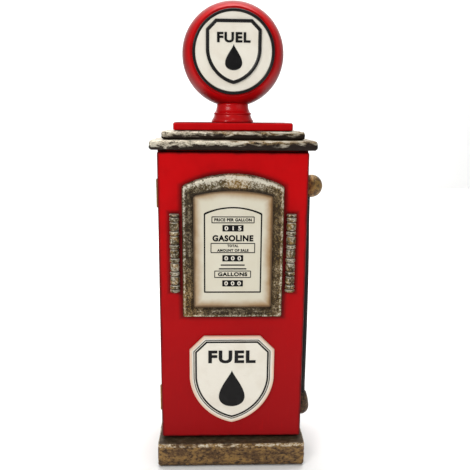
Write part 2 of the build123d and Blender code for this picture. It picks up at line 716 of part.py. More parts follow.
hose_radii = corner_radii(HOSE_ROUTE)
with BuildPart() as hose:
    with BuildLine() as hose_path:
        FilletPolyline(*HOSE_ROUTE, radius=hose_radii)
    with BuildSketch(hose_path.line ^ 0):
        Circle(HOSE_R)
    sweep()
save(hose, "hose")
print("hose length", round(hose_path.wire().length, 1), "radii", [round(radius) for radius in hose_radii])

side_face = Plane(origin=(SIDE_X, 0, 0), z_dir=(1, 0, 0))

with BuildPart() as hose_outlet:
    with Locations((SIDE_X + OUTLET_OUT, FITTING_Y, OUTLET_MID_Z)):
        Sphere(OUTLET_R)
    split(bisect_by=side_face, keep=Keep.TOP)
    with BuildSketch(Plane.XY.offset(OUTLET_MID_Z + OUTLET_BORE_Z)):
        with Locations((OUTLET_BORE_X, FITTING_Y)):
            Circle(HOSE_R + HOSE_PLAY)
    extrude(amount=-OUTLET_R, mode=Mode.SUBTRACT)
    with Locations(seat(SIDE_X, FITTING_Y, OUTLET_MID_Z, (-1, 0, 0))):
        Hole(FITTING_SCREW[2] + SCREW_PLAY / 2, depth=fitting_screw_bite + pilot_end)
save(hose_outlet, "hose_outlet")

lip_z, foot_z = SOCKET_MID_Z + SOCKET_UP, SOCKET_MID_Z - SOCKET_DOWN
with BuildPart() as hose_socket:
    with BuildSketch(Plane(origin=(SOCKET_X, FITTING_Y, 0), x_dir=(1, 0, 0), z_dir=(0, -1, 0))):
        with BuildLine():
            Line((0, lip_z), (SOCKET_LIP_R, lip_z))
            ThreePointArc(
                (SOCKET_LIP_R, lip_z), (SOCKET_R * 0.9, SOCKET_MID_Z + SOCKET_UP * 0.42),
                (SOCKET_R, SOCKET_MID_Z),
            )
            ThreePointArc(
                (SOCKET_R, SOCKET_MID_Z), (SOCKET_R * 0.82, SOCKET_MID_Z - SOCKET_DOWN * 0.66),
                (SOCKET_FOOT_R, foot_z),
            )
            Line((SOCKET_FOOT_R, foot_z), (0, foot_z))
            Line((0, foot_z), (0, lip_z))
        make_face()
    revolve(axis=Axis((SOCKET_X, FITTING_Y, 0), (0, 0, 1)))
    split(bisect_by=side_face, keep=Keep.TOP)
    with BuildSketch(Plane.XY.offset(lip_z)):
        with Locations((SOCKET_X, FITTING_Y)):
            Circle(HOSE_R + HOSE_PLAY)
    extrude(amount=-SOCKET_BORE, mode=Mode.SUBTRACT)
    with Locations(seat(SIDE_X, FITTING_Y, SOCKET_MID_Z, (-1, 0, 0))):
        Hole(FITTING_SCREW[2] + SCREW_PLAY / 2, depth=fitting_screw_bite + pilot_end)
save(hose_socket, "hose_socket")

save_screws(pan_screw(*FITTING_SCREW, SIDE_T + fitting_screw_bite), fitting_seats, "fitting_screws")

# ---------------------------------------------------------------- magnet catch
with BuildPart() as magnet_catch:
    with BuildSketch(Plane.XY.offset(CATCH_MID_Z - CATCH_H / 2)):
        with Locations((strike_x, catch_mid_y)):
            Rectangle(CATCH_W, CATCH_D)
    extrude(amount=CATCH_H)
    fillet(magnet_catch.edges().filter_by(Axis.X).group_by(Axis.Y)[-1], 2.5)
    with BuildSketch(Plane.XY.offset(CATCH_MID_Z - MAGNET_H / 2)):
        with Locations((strike_x, FRONT_Y)):
            Rectangle(MAGNET_W, MAGNET_D, align=(Align.CENTER, Align.MIN))
    extrude(amount=MAGNET_H, mode=Mode.SUBTRACT)
    with Locations(*catch_seats):
        Hole(CATCH_SCREW[2] + SCREW_PLAY, depth=CATCH_W)
save(magnet_catch, "magnet_catch")

with BuildPart() as catch_magnet:
    with BuildSketch(Plane.XY.offset(CATCH_MID_Z - MAGNET_H / 2)):
        with Locations((strike_x, FRONT_Y - MAGNET_NOSE)):
            Rectangle(MAGNET_W, MAGNET_D + MAGNET_NOSE, align=(Align.CENTER, Align.MIN))
    extrude(amount=MAGNET_H)
save(catch_magnet, "catch_magnet")
save_screws(pan_screw(*CATCH_SCREW, CATCH_W + catch_screw_bite), catch_seats, "catch_screws")


# ---------------------------------------------------------------- hinges
def knuckle_spans(hinge_z, on_door):
    """The foot and height of each knuckle that one leaf carries."""
    if on_door:
        return [(hinge_z - DOOR_KNUCKLE_H / 2, DOOR_KNUCKLE_H)]
    height = (HINGE_H - DOOR_KNUCKLE_H) / 2 - KNUCKLE_GAP
    return [(hinge_z - HINGE_H / 2, height), (hinge_z + HINGE_H / 2 - height, height)]


def hinge_leaf(hinge_z, on_door):
    """One leaf with its knuckles: a plate let into the board, rolled round the pin."""
    plate_y = DOOR_BACK_Y - LEAF_T if on_door else FRONT_Y
    with BuildPart() as leaf:
        with BuildSketch(Plane.XY.offset(hinge_z - HINGE_H / 2)):
            with Locations((HINGE_X + KNUCKLE_R + KNUCKLE_GAP, plate_y)):
                Rectangle(LEAF_W - KNUCKLE_R - KNUCKLE_GAP, LEAF_T, align=(Align.MIN, Align.MIN))
        extrude(amount=HINGE_H)
        for foot, height in knuckle_spans(hinge_z, on_door):
            with BuildSketch(Plane.XY.offset(foot)):
                with Locations((HINGE_X, plate_y)):
                    Rectangle(LEAF_W / 2, LEAF_T, align=(Align.MIN, Align.MIN))
                with Locations((HINGE_X, HINGE_Y)):
                    Circle(KNUCKLE_R)
                    Circle(PIN_R + PIN_PLAY, mode=Mode.SUBTRACT)
            extrude(amount=height)
        seats = door_leaf_seats if on_door else frame_leaf_seats
        with Locations(*[place for place in seats if abs(place.origin.Z - hinge_z) < HINGE_H / 2]):
            flat_seat_hole(HINGE_SCREW)
    return leaf.part


def save_leaves(on_door, name):
    """Write the two like leaves of both hinges as one group."""
    leaves = [hinge_leaf(hinge_z, on_door) for hinge_z in HINGE_ZS]
    with BuildPart() as group:
        add(leaves)
    save(group, name)


save_leaves(False, "frame_hinge_leaves")
save_leaves(True, "door_hinge_leaves")

with BuildPart() as hinge_pins:
    for hinge_z in HINGE_ZS:
        with BuildSketch(Plane.XY.offset(hinge_z - HINGE_H / 2)):
            with Locations((HINGE_X, HINGE_Y)):
                Circle(PIN_R)
        extrude(amount=HINGE_H)
        with BuildSketch(Plane.XY.offset(hinge_z + HINGE_H / 2)):
            with Locations((HINGE_X, HINGE_Y)):
                Circle(PIN_HEAD_R)
        extrude(amount=PIN_HEAD_H)
save(hinge_pins, "hinge_pins")

hinge_screw = flat_screw(*HINGE_SCREW, hinge_screw_l)
save_screws(hinge_screw, frame_leaf_seats, "frame_hinge_screws")
save_screws(hinge_screw, door_leaf_seats, "door_hinge_screws")

# ---------------------------------------------------------------- door
trim_seats = [seat(x, DOOR_BACK_Y, z, (0, 1, 0)) for x, z in trim_screw_spots]
strike_seats = [seat(strike_x, DOOR_BACK_Y, z, (0, 1, 0)) for z in strike_screw_zs]
door_recess = hinge_recess(DOOR_BACK_Y - LEAF_T)

with BuildPart() as door_panel:
    with BuildSketch(Plane.XZ.offset(-DOOR_BACK_Y)):
        with Locations((0, DOOR_Z + DOOR_H / 2)):
            RectangleRounded(BODY_W, DOOR_H, DOOR_EDGE_R)
    extrude(amount=DOOR_T)
    fillet(door_panel.faces().sort_by(Axis.Y)[0].edges(), DOOR_EDGE_R * 0.9)
    add(door_recess, mode=Mode.SUBTRACT)
    with Locations(*door_leaf_seats):
        Hole(HINGE_SCREW[1] + SCREW_PLAY / 2, depth=hinge_screw_l + pilot_end)
    with BuildSketch(Plane.XZ.offset(-DOOR_BACK_Y)):
        with Locations((strike_x, CATCH_MID_Z)):
            Rectangle(STRIKE_W + 2 * MORTISE_PLAY, STRIKE_H + 2 * MORTISE_PLAY)
    extrude(amount=STRIKE_T, mode=Mode.SUBTRACT)
    with Locations(*strike_seats):
        Hole(STRIKE_SCREW[1] + SCREW_PLAY / 2, depth=strike_screw_l + pilot_end)
    with Locations(*trim_seats):
        Hole(TRIM_SCREW[2] + SCREW_PLAY, depth=DOOR_T)
save(door_panel, "door_panel")

with BuildPart() as strike_plate:
    with BuildSketch(Plane.XZ.offset(-DOOR_BACK_Y)):
        with Locations((strike_x, CATCH_MID_Z)):
            RectangleRounded(STRIKE_W, STRIKE_H, 2)
    extrude(amount=STRIKE_T)
    with Locations(*strike_seats):
        flat_seat_hole(STRIKE_SCREW)
save(strike_plate, "strike_plate")
save_screws(flat_screw(*STRIKE_SCREW, strike_screw_l), strike_seats, "strike_screws")


# ---------------------------------------------------------------- dial
def arch(width, height, rise, foot, corner_r):
    """A face with a flat foot, upright sides and an arched head."""
    with BuildSketch() as shape:
        with BuildLine():
            Polyline(
                (-width / 2, foot + height), (-width / 2, foot),
                (width / 2, foot), (width / 2, foot + height),
            )
            ThreePointArc((-width / 2, foot + height), (0, foot + height + rise), (width / 2, foot + height))
        make_face()
        fillet(shape.vertices(), corner_r)
    return shape.sketch


def window_arch(lap):
    """The frame's window, grown by a lap all round."""
    return arch(
        FRAME_W - 2 * FRAME_STILE + 2 * lap, FRAME_H - FRAME_SILL - FRAME_HEAD + 2 * lap,
        WINDOW_RISE, FRAME_Z + FRAME_SILL - lap, WINDOW_CORNER_R,
    )


door_face = Plane.XZ.offset(-FACE_Y)
frame_outline = arch(FRAME_W, FRAME_H, FRAME_RISE, FRAME_Z, FRAME_CORNER_R)
frame_window = window_arch(0)
dial_pocket = window_arch(DIAL_LAP + DIAL_PLAY)
dial_outline = window_arch(DIAL_LAP)

with BuildPart() as dial_frame:
    with BuildSketch(door_face):
        add(frame_outline)
    extrude(amount=FRAME_T)
    fillet(dial_frame.faces().sort_by(Axis.Y)[0].edges(), FRAME_EDGE_R)
    with BuildSketch(door_face):
        add(frame_window)
    extrude(amount=FRAME_T, mode=Mode.SUBTRACT)
    chamfer(dial_frame.faces().sort_by(Axis.Y)[0].inner_wires()[0].edges(), FRAME_BEVEL)
    with BuildSketch(door_face):
        add(dial_pocket)
    extrude(amount=DIAL_T, mode=Mode.SUBTRACT)
    with Locations(*trim_seats):
        Hole(TRIM_SCREW[2] + SCREW_PLAY / 2, depth=trim_screw_l + pilot_end)
save(dial_frame, "dial_frame")
save_screws(pan_screw(*TRIM_SCREW, trim_screw_l), trim_seats, "trim_screws")

with BuildPart() as dial_plate:
    with BuildSketch(door_face):
        add(dial_outline)
    extrude(amount=DIAL_T)
save(dial_plate, "dial_plate")

# ---------------------------------------------------------------- spindles and badge
bead = (BEAD_H, SPINDLE_R)
barrel = (BARREL_H, SPINDLE_R - BARREL_SLIM)
cap = (CAP_H, SPINDLE_R)
turnings = [cap, bead] + [barrel, bead] * BARREL_COUNT + [cap]


def spindle(x):
    """A turned half-column with its flat back on the door: caps, beads and barrels between grooves."""
    axis_y = FACE_Y - SPINDLE_OUT
    lip_r = SPINDLE_GROOVE_R + SPINDLE_LIP
    with BuildPart() as column:
        with BuildSketch(Plane(origin=(x, axis_y, 0), x_dir=(1, 0, 0), z_dir=(0, -1, 0))):
            with BuildLine():
                z = FOOT_Z + SPINDLE_FOOT
                Line((0, z), (lip_r, z))
                for height, peak_r in turnings:
                    top = z + height
                    ThreePointArc((lip_r, z), (peak_r, z + height / 2), (lip_r, top))
                    z = top + GROOVE_H
                    if height == CAP_H and top > FOOT_Z + SPINDLE_FOOT + CAP_H:
                        break
                    Polyline((lip_r, top), (SPINDLE_GROOVE_R, top), (SPINDLE_GROOVE_R, z), (lip_r, z))
                Polyline((lip_r, top), (0, top), (0, FOOT_Z + SPINDLE_FOOT))
            make_face()
        revolve(axis=Axis((x, axis_y, 0), (0, 0, 1)))
        split(bisect_by=Plane.XZ.offset(-FACE_Y), keep=Keep.TOP)
    return column


for spindle_name, side in (("left_spindle", -1), ("right_spindle", 1)):
    save(spindle(side * SPINDLE_X), spindle_name)

save(shield_badge(FACE_Y, BADGE_W, BADGE_H, BADGE_T, BADGE_Z), "door_badge")
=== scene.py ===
"""Ornamental gas pump: finishes, trims, prints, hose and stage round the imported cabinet."""

from math import cos, hypot, pi, radians, sin

import bpy
from bpy.props import FloatProperty, FloatVectorProperty, PointerProperty
from mathutils import Matrix, Vector, noise


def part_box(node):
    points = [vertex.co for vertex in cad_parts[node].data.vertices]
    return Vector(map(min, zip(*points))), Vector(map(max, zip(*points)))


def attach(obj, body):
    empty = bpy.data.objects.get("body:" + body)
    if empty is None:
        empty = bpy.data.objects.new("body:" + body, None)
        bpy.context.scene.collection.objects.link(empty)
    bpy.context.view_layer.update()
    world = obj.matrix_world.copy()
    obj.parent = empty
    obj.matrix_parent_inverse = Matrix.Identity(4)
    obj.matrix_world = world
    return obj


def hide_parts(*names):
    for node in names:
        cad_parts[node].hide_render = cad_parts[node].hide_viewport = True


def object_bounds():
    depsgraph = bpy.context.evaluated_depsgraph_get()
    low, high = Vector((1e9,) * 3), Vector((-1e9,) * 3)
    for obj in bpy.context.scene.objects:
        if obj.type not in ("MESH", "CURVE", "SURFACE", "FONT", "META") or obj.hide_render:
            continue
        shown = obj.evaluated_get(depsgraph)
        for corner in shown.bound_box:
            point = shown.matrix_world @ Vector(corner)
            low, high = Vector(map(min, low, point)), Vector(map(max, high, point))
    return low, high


bl_info = {
    "name": "Ornamental gas pump",
    "version": (1, 0, 0),
    "blender": (4, 5, 0),
    "location": "View3D > Sidebar > Gas Pump",
    "description": "Finishes, trims, prints, hose and stage for the ornamental gas pump cabinet",
    "category": "Object",
}

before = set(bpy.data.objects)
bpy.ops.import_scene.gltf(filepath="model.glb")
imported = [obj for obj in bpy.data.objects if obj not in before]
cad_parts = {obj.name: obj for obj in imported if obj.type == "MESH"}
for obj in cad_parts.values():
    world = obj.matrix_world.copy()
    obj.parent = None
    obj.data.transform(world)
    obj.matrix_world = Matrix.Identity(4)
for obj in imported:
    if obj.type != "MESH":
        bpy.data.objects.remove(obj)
CAD_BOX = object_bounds()
MM = 0.001
TOUCH = 0.0001  # points this close to a resting face stay on it
FRAME_RISE = 0.0133  # how far the dial frame's arch stands over its corners
WINDOW_RISE = 0.0057  # the same for the window in it
WINDOW_HALF_W = 0.0425


# ---------------------------------------------------------------- shader graph
class Wire:
    """A value in a finish's graph. Arithmetic on it adds Math nodes."""

    def __init__(self, finish, node, output=0):
        self.finish, self.node, self.socket = finish, node, node.outputs[output]

    def __getitem__(self, output):
        return Wire(self.finish, self.node, output)

    def __add__(self, other):
        return self.finish.maths("ADD", self, other)

    def __sub__(self, other):
        return self.finish.maths("SUBTRACT", self, other)

    def __rsub__(self, other):
        return self.finish.maths("SUBTRACT", other, self)

    def __mul__(self, other):
        return self.finish.maths("MULTIPLY", self, other)

    def __pow__(self, other):
        return self.finish.maths("POWER", self, other)

    def __abs__(self):
        return self.finish.maths("ABSOLUTE", self)

    __radd__, __rmul__ = __add__, __mul__


class Finish:
    """One material and the nodes that make it."""

    def __init__(self, name):
        self.material = bpy.data.materials.new(name)
        self.material.use_nodes = True
        self.tree = self.material.node_tree
        self.surface = self.tree.nodes["Principled BSDF"]
        self.place = self.node("ShaderNodeTexCoord")["Object"]
        apart = self.node("ShaderNodeSeparateXYZ", {}, {"Vector": self.place})
        self.x, self.y, self.z = apart["X"], apart["Y"], apart["Z"]
        self.facing = self.node("ShaderNodeSeparateXYZ", {}, {
            "Vector": self.node("ShaderNodeNewGeometry")["Normal"]
        })

    def node(self, kind, settings=None, sockets=None):
        """Add a node: its settings first, then its sockets' values or links."""
        made = self.tree.nodes.new(kind)
        for name, value in (settings or {}).items():
            setattr(made, name, value)
        for name, value in (sockets or {}).items():
            self.feed(made.inputs[name], value)
        return Wire(self, made)

    def feed(self, socket, value):
        """Link a wire to a socket, or set the socket's own value."""
        if isinstance(value, Wire):
            self.tree.links.new(value.socket, socket)
        elif socket.type == "RGBA":
            socket.default_value = (*value[:3], 1.0)
        else:
            socket.default_value = value

    def maths(self, operation, *values):
        return self.node("ShaderNodeMath", {"operation": operation}, dict(enumerate(values)))

    def least(self, first, *others):
        for other in others:
            first = self.maths("MINIMUM", first, other)
        return first

    def rise(self, value, low, high):
        """0 below low, 1 above high, and a smooth step between."""
        return self.node(
            "ShaderNodeMapRange", {"interpolation_type": "SMOOTHSTEP"},
            {"Value": value, "From Min": low, "From Max": high},
        )

    def cloud(self, size, detail=3.0, roughness=0.55, stretch=(1, 1, 1), shift=0.0, warp=0.0):
        """Soft noise with features of about that size in metres."""
        placed = self.node("ShaderNodeMapping", {}, {
            "Vector": self.place, "Location": (shift, shift * 0.7, shift * 1.3), "Scale": stretch
        })
        return self.node("ShaderNodeTexNoise", {}, {
            "Vector": placed, "Scale": 1 / size, "Detail": detail, "Roughness": roughness,
            "Distortion": warp,
        })

    def pits(self, size):
        """Distance to the nearest of many scattered points, for hammering and pits."""
        return self.node("ShaderNodeTexVoronoi", {}, {"Vector": self.place, "Scale": 1 / size})["Distance"]

    def blend(self, first, second, share):
        """Mix two colours by a share from 0 to 1."""
        return self.node("ShaderNodeMix", {"data_type": "RGBA"}, {0: share, 6: first, 7: second})[2]

    def over(self, colour, share):
        """Lay a colour over the base by a share from 0 to 1."""
        self.base = self.blend(self.base, colour, share)

    def relief(self, *layers):
        """Surface normals for layers, each a height from 0 to 1, its depth in metres and its strength."""
        under = {}
        for height, depth, strength in layers:
            bump = self.node("ShaderNodeBump", {}, {
                "Height": height, "Distance": depth, "Strength": strength, **under
            })
            under = {"Normal": bump}
        return bump

    def coat(self, **sockets):
        """Feed the surface's own sockets: Coat_Weight stands for Coat Weight."""
        for name, value in {"Base_Color": self.base, **sockets}.items():
            self.feed(self.surface.inputs[name.replace("_", " ")], value)
        return self.material


# ---------------------------------------------------------------- finishes
def edge_shade(finish, spans, width):
    """1 along the ends of each span, falling to 0 over that width, broken by brush marks."""
    nearest = finish.least(*[
        finish.least(getattr(finish, axis) - low, high - getattr(finish, axis))
        for axis, (low, high) in spans.items()
    ])
    ragged = finish.cloud(0.012, stretch=(1, 1, 0.4)) * width
    return 1 - finish.rise(nearest + ragged - width * 0.5, 0.0, width)


def red_enamel(name, colours, spans, edge=0.0035, streak=(1.0, 1.0, 0.12), gloss=0.02, glow=0.08,
               painted_shade=None):
    """Brushed gloss enamel: painted shade makes it lighter near the top and darker towards the foot, it is
    darker along its edges, and painted shade lies wherever a painted_shade mask is given.
    """
    paint = Finish(name)
    low, high = frame_span("z")
    # painted shade: red_low at the foot rising to red_high near the top, as if lit from above
    height = paint.rise(paint.z, low, high * 0.75)
    drift = paint.cloud(0.05, detail=4.0)
    paint.base = paint.blend(colours.red_low, colours.red_high, height)
    paint.over(colours.red_deep, paint.rise(drift, 0.45, 0.75) * 0.35)
    strokes = paint.cloud(0.0022, detail=4.0, roughness=0.6, stretch=streak)
    paint.over(colours.red_high, paint.rise(strokes, 0.55, 0.8) * 0.25)
    shade = edge_shade(paint, spans, edge)
    # darker along the edges
    paint.over(colours.dark_edges_and_shade, shade * 0.8)
    # painted shade from the painted_shade mask: a painted shadow round the door's trims, and darkening at
    # the globe's rim
    if painted_shade is not None:
        paint.over(colours.dark_edges_and_shade, painted_shade(paint) * (0.35 + drift * 0.6))
    peel = paint.cloud(0.0035, detail=2.0)
    normal = paint.relief((strokes, 0.00006, 0.6), (peel, 0.00012, 0.5))
    rough = 0.3 + paint.rise(strokes, 0.3, 0.8) * 0.16 + shade * 0.2
    return paint.coat(
        Roughness=rough, Normal=normal, Coat_Weight=gloss,
        Coat_Roughness=0.12, Specular_IOR_Level=glow,
    )


def gilt_moulding(name, colours, low, high):
    """Aged leaf on a moulding, with painted light: pale leaf as a painted highlight along its upper half and
    left end, and painted shade dark and uneven below.
    """
    paint = Finish(name)
    share = (paint.z - low) * (1 / (high - low))
    wave = paint.cloud(0.016, detail=4.0, stretch=(0.6, 1, 1)) - 0.5
    streak = paint.cloud(0.0035, detail=5.0, roughness=0.65, stretch=(0.3, 1, 1), warp=0.4)
    fleck = paint.cloud(0.0014, detail=4.0, roughness=0.7, shift=0.31)
    # painted light: level grows with height and towards the left, so the base runs from brown_black shade
    # below to lit leaf_grey above
    level = share + wave * 0.7 + (streak - 0.5) * 1.3 - paint.x * 0.8
    paint.base = paint.blend(colours.brown_black, colours.leaf_grey, paint.rise(level, 0.42, 0.8) * 0.9)
    gold = paint.rise(paint.cloud(0.03, detail=3.0, shift=0.6) + paint.x * 1.8, 0.46, 0.6)
    leaf = paint.blend(colours.leaf_silver, colours.leaf_gold, gold * paint.rise(streak, 0.62, 0.44))
    leaf = paint.blend(leaf, colours.pale_leaf_and_highlight, paint.rise(streak + (fleck - 0.5) * 0.5, 0.48, 0.6) * 0.65)
    # painted highlight: pale leaf over the upper half, weaker towards the right
    bright = paint.rise(level, 0.42, 0.72) * (0.9 - paint.rise(paint.x, -0.03, 0.088) * 0.5)
    paint.over(leaf, bright)
    paint.over(colours.brown_black, paint.rise(fleck + streak * 0.8, 0.87, 0.76) * 0.85)
    normal = paint.relief((fleck, 0.0003, 0.7), (streak, 0.0007, 0.7))
    return paint.coat(
        Metallic=0.1 + bright * 0.35, Roughness=0.5 - bright * 0.14 + fleck * 0.12,
        Normal=normal, Specular_IOR_Level=0.2,
    )


def speckled_leaf(name, colours, bright, gold, hollow, speckle=0.0021):
    """Grey-gold leaf stippled over dark brown, with masks for its painted highlight, its gold tint and its
    painted shade in the hollows.
    """
    paint = Finish(name)
    fine = paint.cloud(speckle, detail=5.0, roughness=0.75, warp=0.4)
    broad = paint.cloud(0.009, detail=4.0, roughness=0.6, shift=0.2)
    pits = paint.pits(speckle * 1.4)
    # bright gives the painted highlight and hollow the painted shade
    lift = bright(paint)
    low = hollow(paint)
    paint.base = paint.blend(colours.leaf_olive, colours.leaf_grey, paint.rise(broad, 0.42, 0.6))
    paint.over(colours.leaf_gold, gold(paint) * 0.7)
    level = fine + (broad - 0.5) * 0.3 + (lift - 0.5) * 0.2
    paint.over(colours.brown_black, paint.rise(level, 0.465, 0.39) * 0.85)
    # pale stipple, raised by the painted highlight
    pale = paint.rise(level, 0.515, 0.59) * (0.42 + lift * 0.3)
    paint.over(colours.pale_leaf_and_highlight, pale)
    # painted shade in the hollows
    paint.over(colours.brown_black, low * 0.4)
    normal = paint.relief((fine, 0.0004, 0.8), (pits, 0.0005, 0.5))
    return paint.coat(
        Metallic=0.15 + pale * 0.3, Roughness=0.48 - pale * 0.18 + low * 0.2,
        Normal=normal, Specular_IOR_Level=0.2,
    )


def rusty_bronze(name, colours, low, high):
    """Bronze paint over dark brown, mottled with gold, with a broken pale band on the top edge as a painted
    highlight, painted shade on its level top face, and darker towards its foot.
    """
    paint = Finish(name)
    mottle = paint.cloud(0.009, detail=6.0, roughness=0.7, stretch=(0.45, 1, 1), warp=0.6)
    fleck = paint.cloud(0.0028, detail=5.0, roughness=0.75, stretch=(0.6, 1, 1), shift=0.4)
    paint.base = paint.blend(colours.bronze, colours.rust, paint.rise(mottle, 0.4, 0.6))
    paint.over(colours.leaf_gold, paint.rise(fleck * 0.7 + mottle * 0.5, 0.6, 0.68) * 0.75)
    paint.over(colours.brown_black, paint.rise(fleck, 0.5, 0.38) * 0.85)
    # painted shade: level top faces darkened with olive_black
    top = paint.rise(paint.facing["Z"], 0.55, 0.95)
    paint.over(colours.olive_black, top * 0.9)
    # painted highlight: a broken gold and pale band along the top edge
    band = paint.rise(paint.z, high - 0.0056, high - 0.0036) * (1 - top * 0.95)
    band = band * paint.rise(paint.cloud(0.005, detail=5.0, shift=0.7, stretch=(0.6, 1, 1)), 0.40, 0.54)
    paint.over(colours.leaf_gold, band * 0.8)
    paint.over(colours.pale_leaf_and_highlight, band * paint.rise(fleck, 0.44, 0.56) * 0.75)
    paint.over(colours.brown_black, paint.rise(paint.z, low + 0.006, low) * 0.6)
    normal = paint.relief((fleck, 0.0005, 0.8), (mottle, 0.0012, 0.7))
    return paint.coat(
        Metallic=0.1 + band * 0.3, Roughness=0.55 - band * 0.15, Normal=normal,
        Specular_IOR_Level=0.3,
    )


def aged_metal_paint(name, colours, light, deep, size=0.004):
    """A turned fitting under aged metallic paint, with dark pits."""
    paint = Finish(name)
    tone = paint.cloud(size, detail=5.0, roughness=0.65, warp=0.5)
    flecks = paint.cloud(size * 0.3, detail=4.0, roughness=0.7)
    paint.base = paint.blend(deep, light, paint.rise(tone, 0.38, 0.62))
    paint.over(colours.pale_leaf_and_highlight, paint.rise(flecks, 0.62, 0.74) * 0.6)
    paint.over(colours.brown_black, paint.rise(flecks, 0.4, 0.3) * 0.8)
    normal = paint.relief((flecks, 0.0003, 0.7), (tone, 0.0006, 0.5))
    return paint.coat(Metallic=0.55, Roughness=0.36 + flecks * 0.18, Normal=normal)


def aged_card(name, colours, half_w, foot, spring, rise):
    """A printed card, aged cream with a brown wash where it meets its frame, and a painted shadow line along
    the frame's edge.
    """
    paint = Finish(name)
    arch = spring + rise - paint.x * paint.x * (rise / half_w**2)
    nearest = paint.least(half_w - abs(paint.x), paint.z - foot, arch - paint.z)
    ragged = paint.cloud(0.014, detail=4.0) * 0.007
    wash = 1 - paint.rise(nearest + ragged, 0.004, 0.0145)
    wash = wash * (0.85 + paint.rise(paint.x, 0.0, half_w) * 0.15)
    speckle = paint.cloud(0.0016, detail=5.0, roughness=0.7)
    paint.base = paint.blend(colours.card_cream, colours.card_shade, paint.cloud(0.03, detail=3.0))
    paint.over(colours.card_wash, wash * 0.95)
    # painted shadow: a darker line along the edge of the frame's window
    line = 1 - paint.rise(nearest + ragged * 0.3, 0.0015, 0.0045)
    paint.over(colours.bronze, line * 0.85)
    paint.over(colours.card_shade, paint.rise(speckle, 0.6, 0.75) * 0.4)
    return paint.coat(
        Roughness=0.42 + speckle * 0.15, Normal=paint.relief((speckle, 0.00006, 0.5))
    )


def worn_enamel(name, main, shade, rough=0.3, size=0.02, gloss=0.3, glow=0.35):
    """Brushed enamel in one colour, with thin spots and brush marks."""
    paint = Finish(name)
    drift = paint.cloud(size, detail=4.0, warp=0.3)
    strokes = paint.cloud(0.0018, detail=4.0, stretch=(0.25, 1, 1))
    paint.base = paint.blend(main, shade, paint.rise(drift, 0.42, 0.7) * 0.45)
    paint.over(shade, paint.rise(strokes, 0.58, 0.8) * 0.35)
    normal = paint.relief((strokes, 0.00008, 0.6), (drift, 0.0003, 0.5))
    return paint.coat(
        Roughness=rough + strokes * 0.12, Normal=normal, Coat_Weight=gloss,
        Coat_Roughness=0.15, Specular_IOR_Level=glow,
    )


def fibre_board(name, colours):
    """Unpainted pressed board: pale fibres and darker specks."""
    board = Finish(name)
    fibres = board.cloud(0.0012, detail=6.0, roughness=0.75, stretch=(0.2, 1, 1), warp=1.2)
    drift = board.cloud(0.04, detail=3.0)
    board.base = board.blend(colours.board, colours.board_dark, board.rise(fibres, 0.42, 0.68))
    board.over(colours.board_dark, board.rise(drift, 0.5, 0.8) * 0.4)
    return board.coat(
        Roughness=0.78 + fibres * 0.12, Normal=board.relief((fibres, 0.00015, 0.7))
    )


def machined(name, colour, worn, rough=0.28, turned=(1, 1, 1)):
    """Plain metal with fine tool marks and handling stains."""
    metal = Finish(name)
    marks = metal.cloud(0.0004, detail=3.0, stretch=turned)
    stain = metal.cloud(0.006, detail=5.0, roughness=0.65)
    metal.base = metal.blend(colour, worn, metal.rise(stain, 0.45, 0.7) * 0.7)
    return metal.coat(
        Metallic=1.0, Roughness=rough + stain * 0.25,
        Normal=metal.relief((marks, 0.00004, 0.6)),
    )


def soft_black(name, colour, grain, rough, ribs=0.0):
    """Moulded black rubber or plastic with a fine skin."""
    skin = Finish(name)
    fine = skin.cloud(grain, detail=4.0, roughness=0.6)
    dust = skin.cloud(0.012, detail=4.0)
    skin.base = skin.blend(colour, (0.06, 0.055, 0.05), skin.rise(dust, 0.52, 0.8) * 0.5)
    layers = [(fine, 0.00012, 0.7)]
    if ribs:
        turns = skin.maths("SINE", skin.z * (2 * pi / ribs))
        layers.append((turns * 0.5 + 0.5, 0.00015, 0.5))
    return skin.coat(Roughness=rough + fine * 0.15, Normal=skin.relief(*layers), Specular_IOR_Level=0.25)


# ---------------------------------------------------------------- mesh building
def frame_span(axis):
    """The whole cabinet's lowest and highest place along an axis."""
    index = "xyz".index(axis)
    return CAD_BOX[0][index], CAD_BOX[1][index]


def corners(name):
    """A CAD node's lowest and highest corners."""
    return [Vector(corner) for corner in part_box(name)]


def skin_rings(name, rings, close=False):
    """A mesh through rings of equally many points: closed into a loop, or capped at both ends."""
    count = len(rings[0])
    points = [point for ring in rings for point in ring]
    pairs = list(zip(range(len(rings)), range(1, len(rings))))
    last = len(rings) - 1
    if close:
        pairs.append((last, 0))
    faces = [
        (a * count + i, a * count + (i + 1) % count, b * count + (i + 1) % count, b * count + i)
        for a, b in pairs
        for i in range(count)
    ]
    if not close:
        faces += [tuple(reversed(range(count))), tuple(range(last * count, (last + 1) * count))]
    mesh = bpy.data.meshes.new(name)
    mesh.from_pydata(points, [], faces)
    mesh.polygons.foreach_set("use_smooth", [True] * len(mesh.polygons))
    mesh.update()
    return mesh


def weather(mesh, depth, size, seed, held, grain):
    """Sink a surface by up to depth in soft lumps of that size, and a fine grain, except where held."""
    shift = Vector((seed * 3.7, seed * 1.9, seed * 5.3))
    normals = [normal.vector.copy() for normal in mesh.vertex_normals]
    for vertex, normal in zip(mesh.vertices, normals):
        lump = 0.5 + 0.55 * noise.fractal(vertex.co / size + shift, 0.8, 2.1, 3)
        sink = depth * min(max(lump, 0.0), 1.0)
        sink += grain * (0.5 + 0.5 * noise.noise(vertex.co / (size * 0.3) - shift))
        if not held(vertex.co):
            vertex.co -= normal * sink
    mesh.update()


def link(name, data):
    """Put an object in the scene for some data."""
    made = bpy.data.objects.new(name, data)
    bpy.context.collection.objects.link(made)
    return made


def place(name, data, finish, body, stands_for=()):
    """Put a piece in the scene: its finish, the body it rides on and what it stands for."""
    piece = link(name, data)
    for material in finish if isinstance(finish, list) else [finish]:
        data.materials.append(material)
    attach(piece, body)
    if stands_for:
        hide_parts(*stands_for)
    return piece


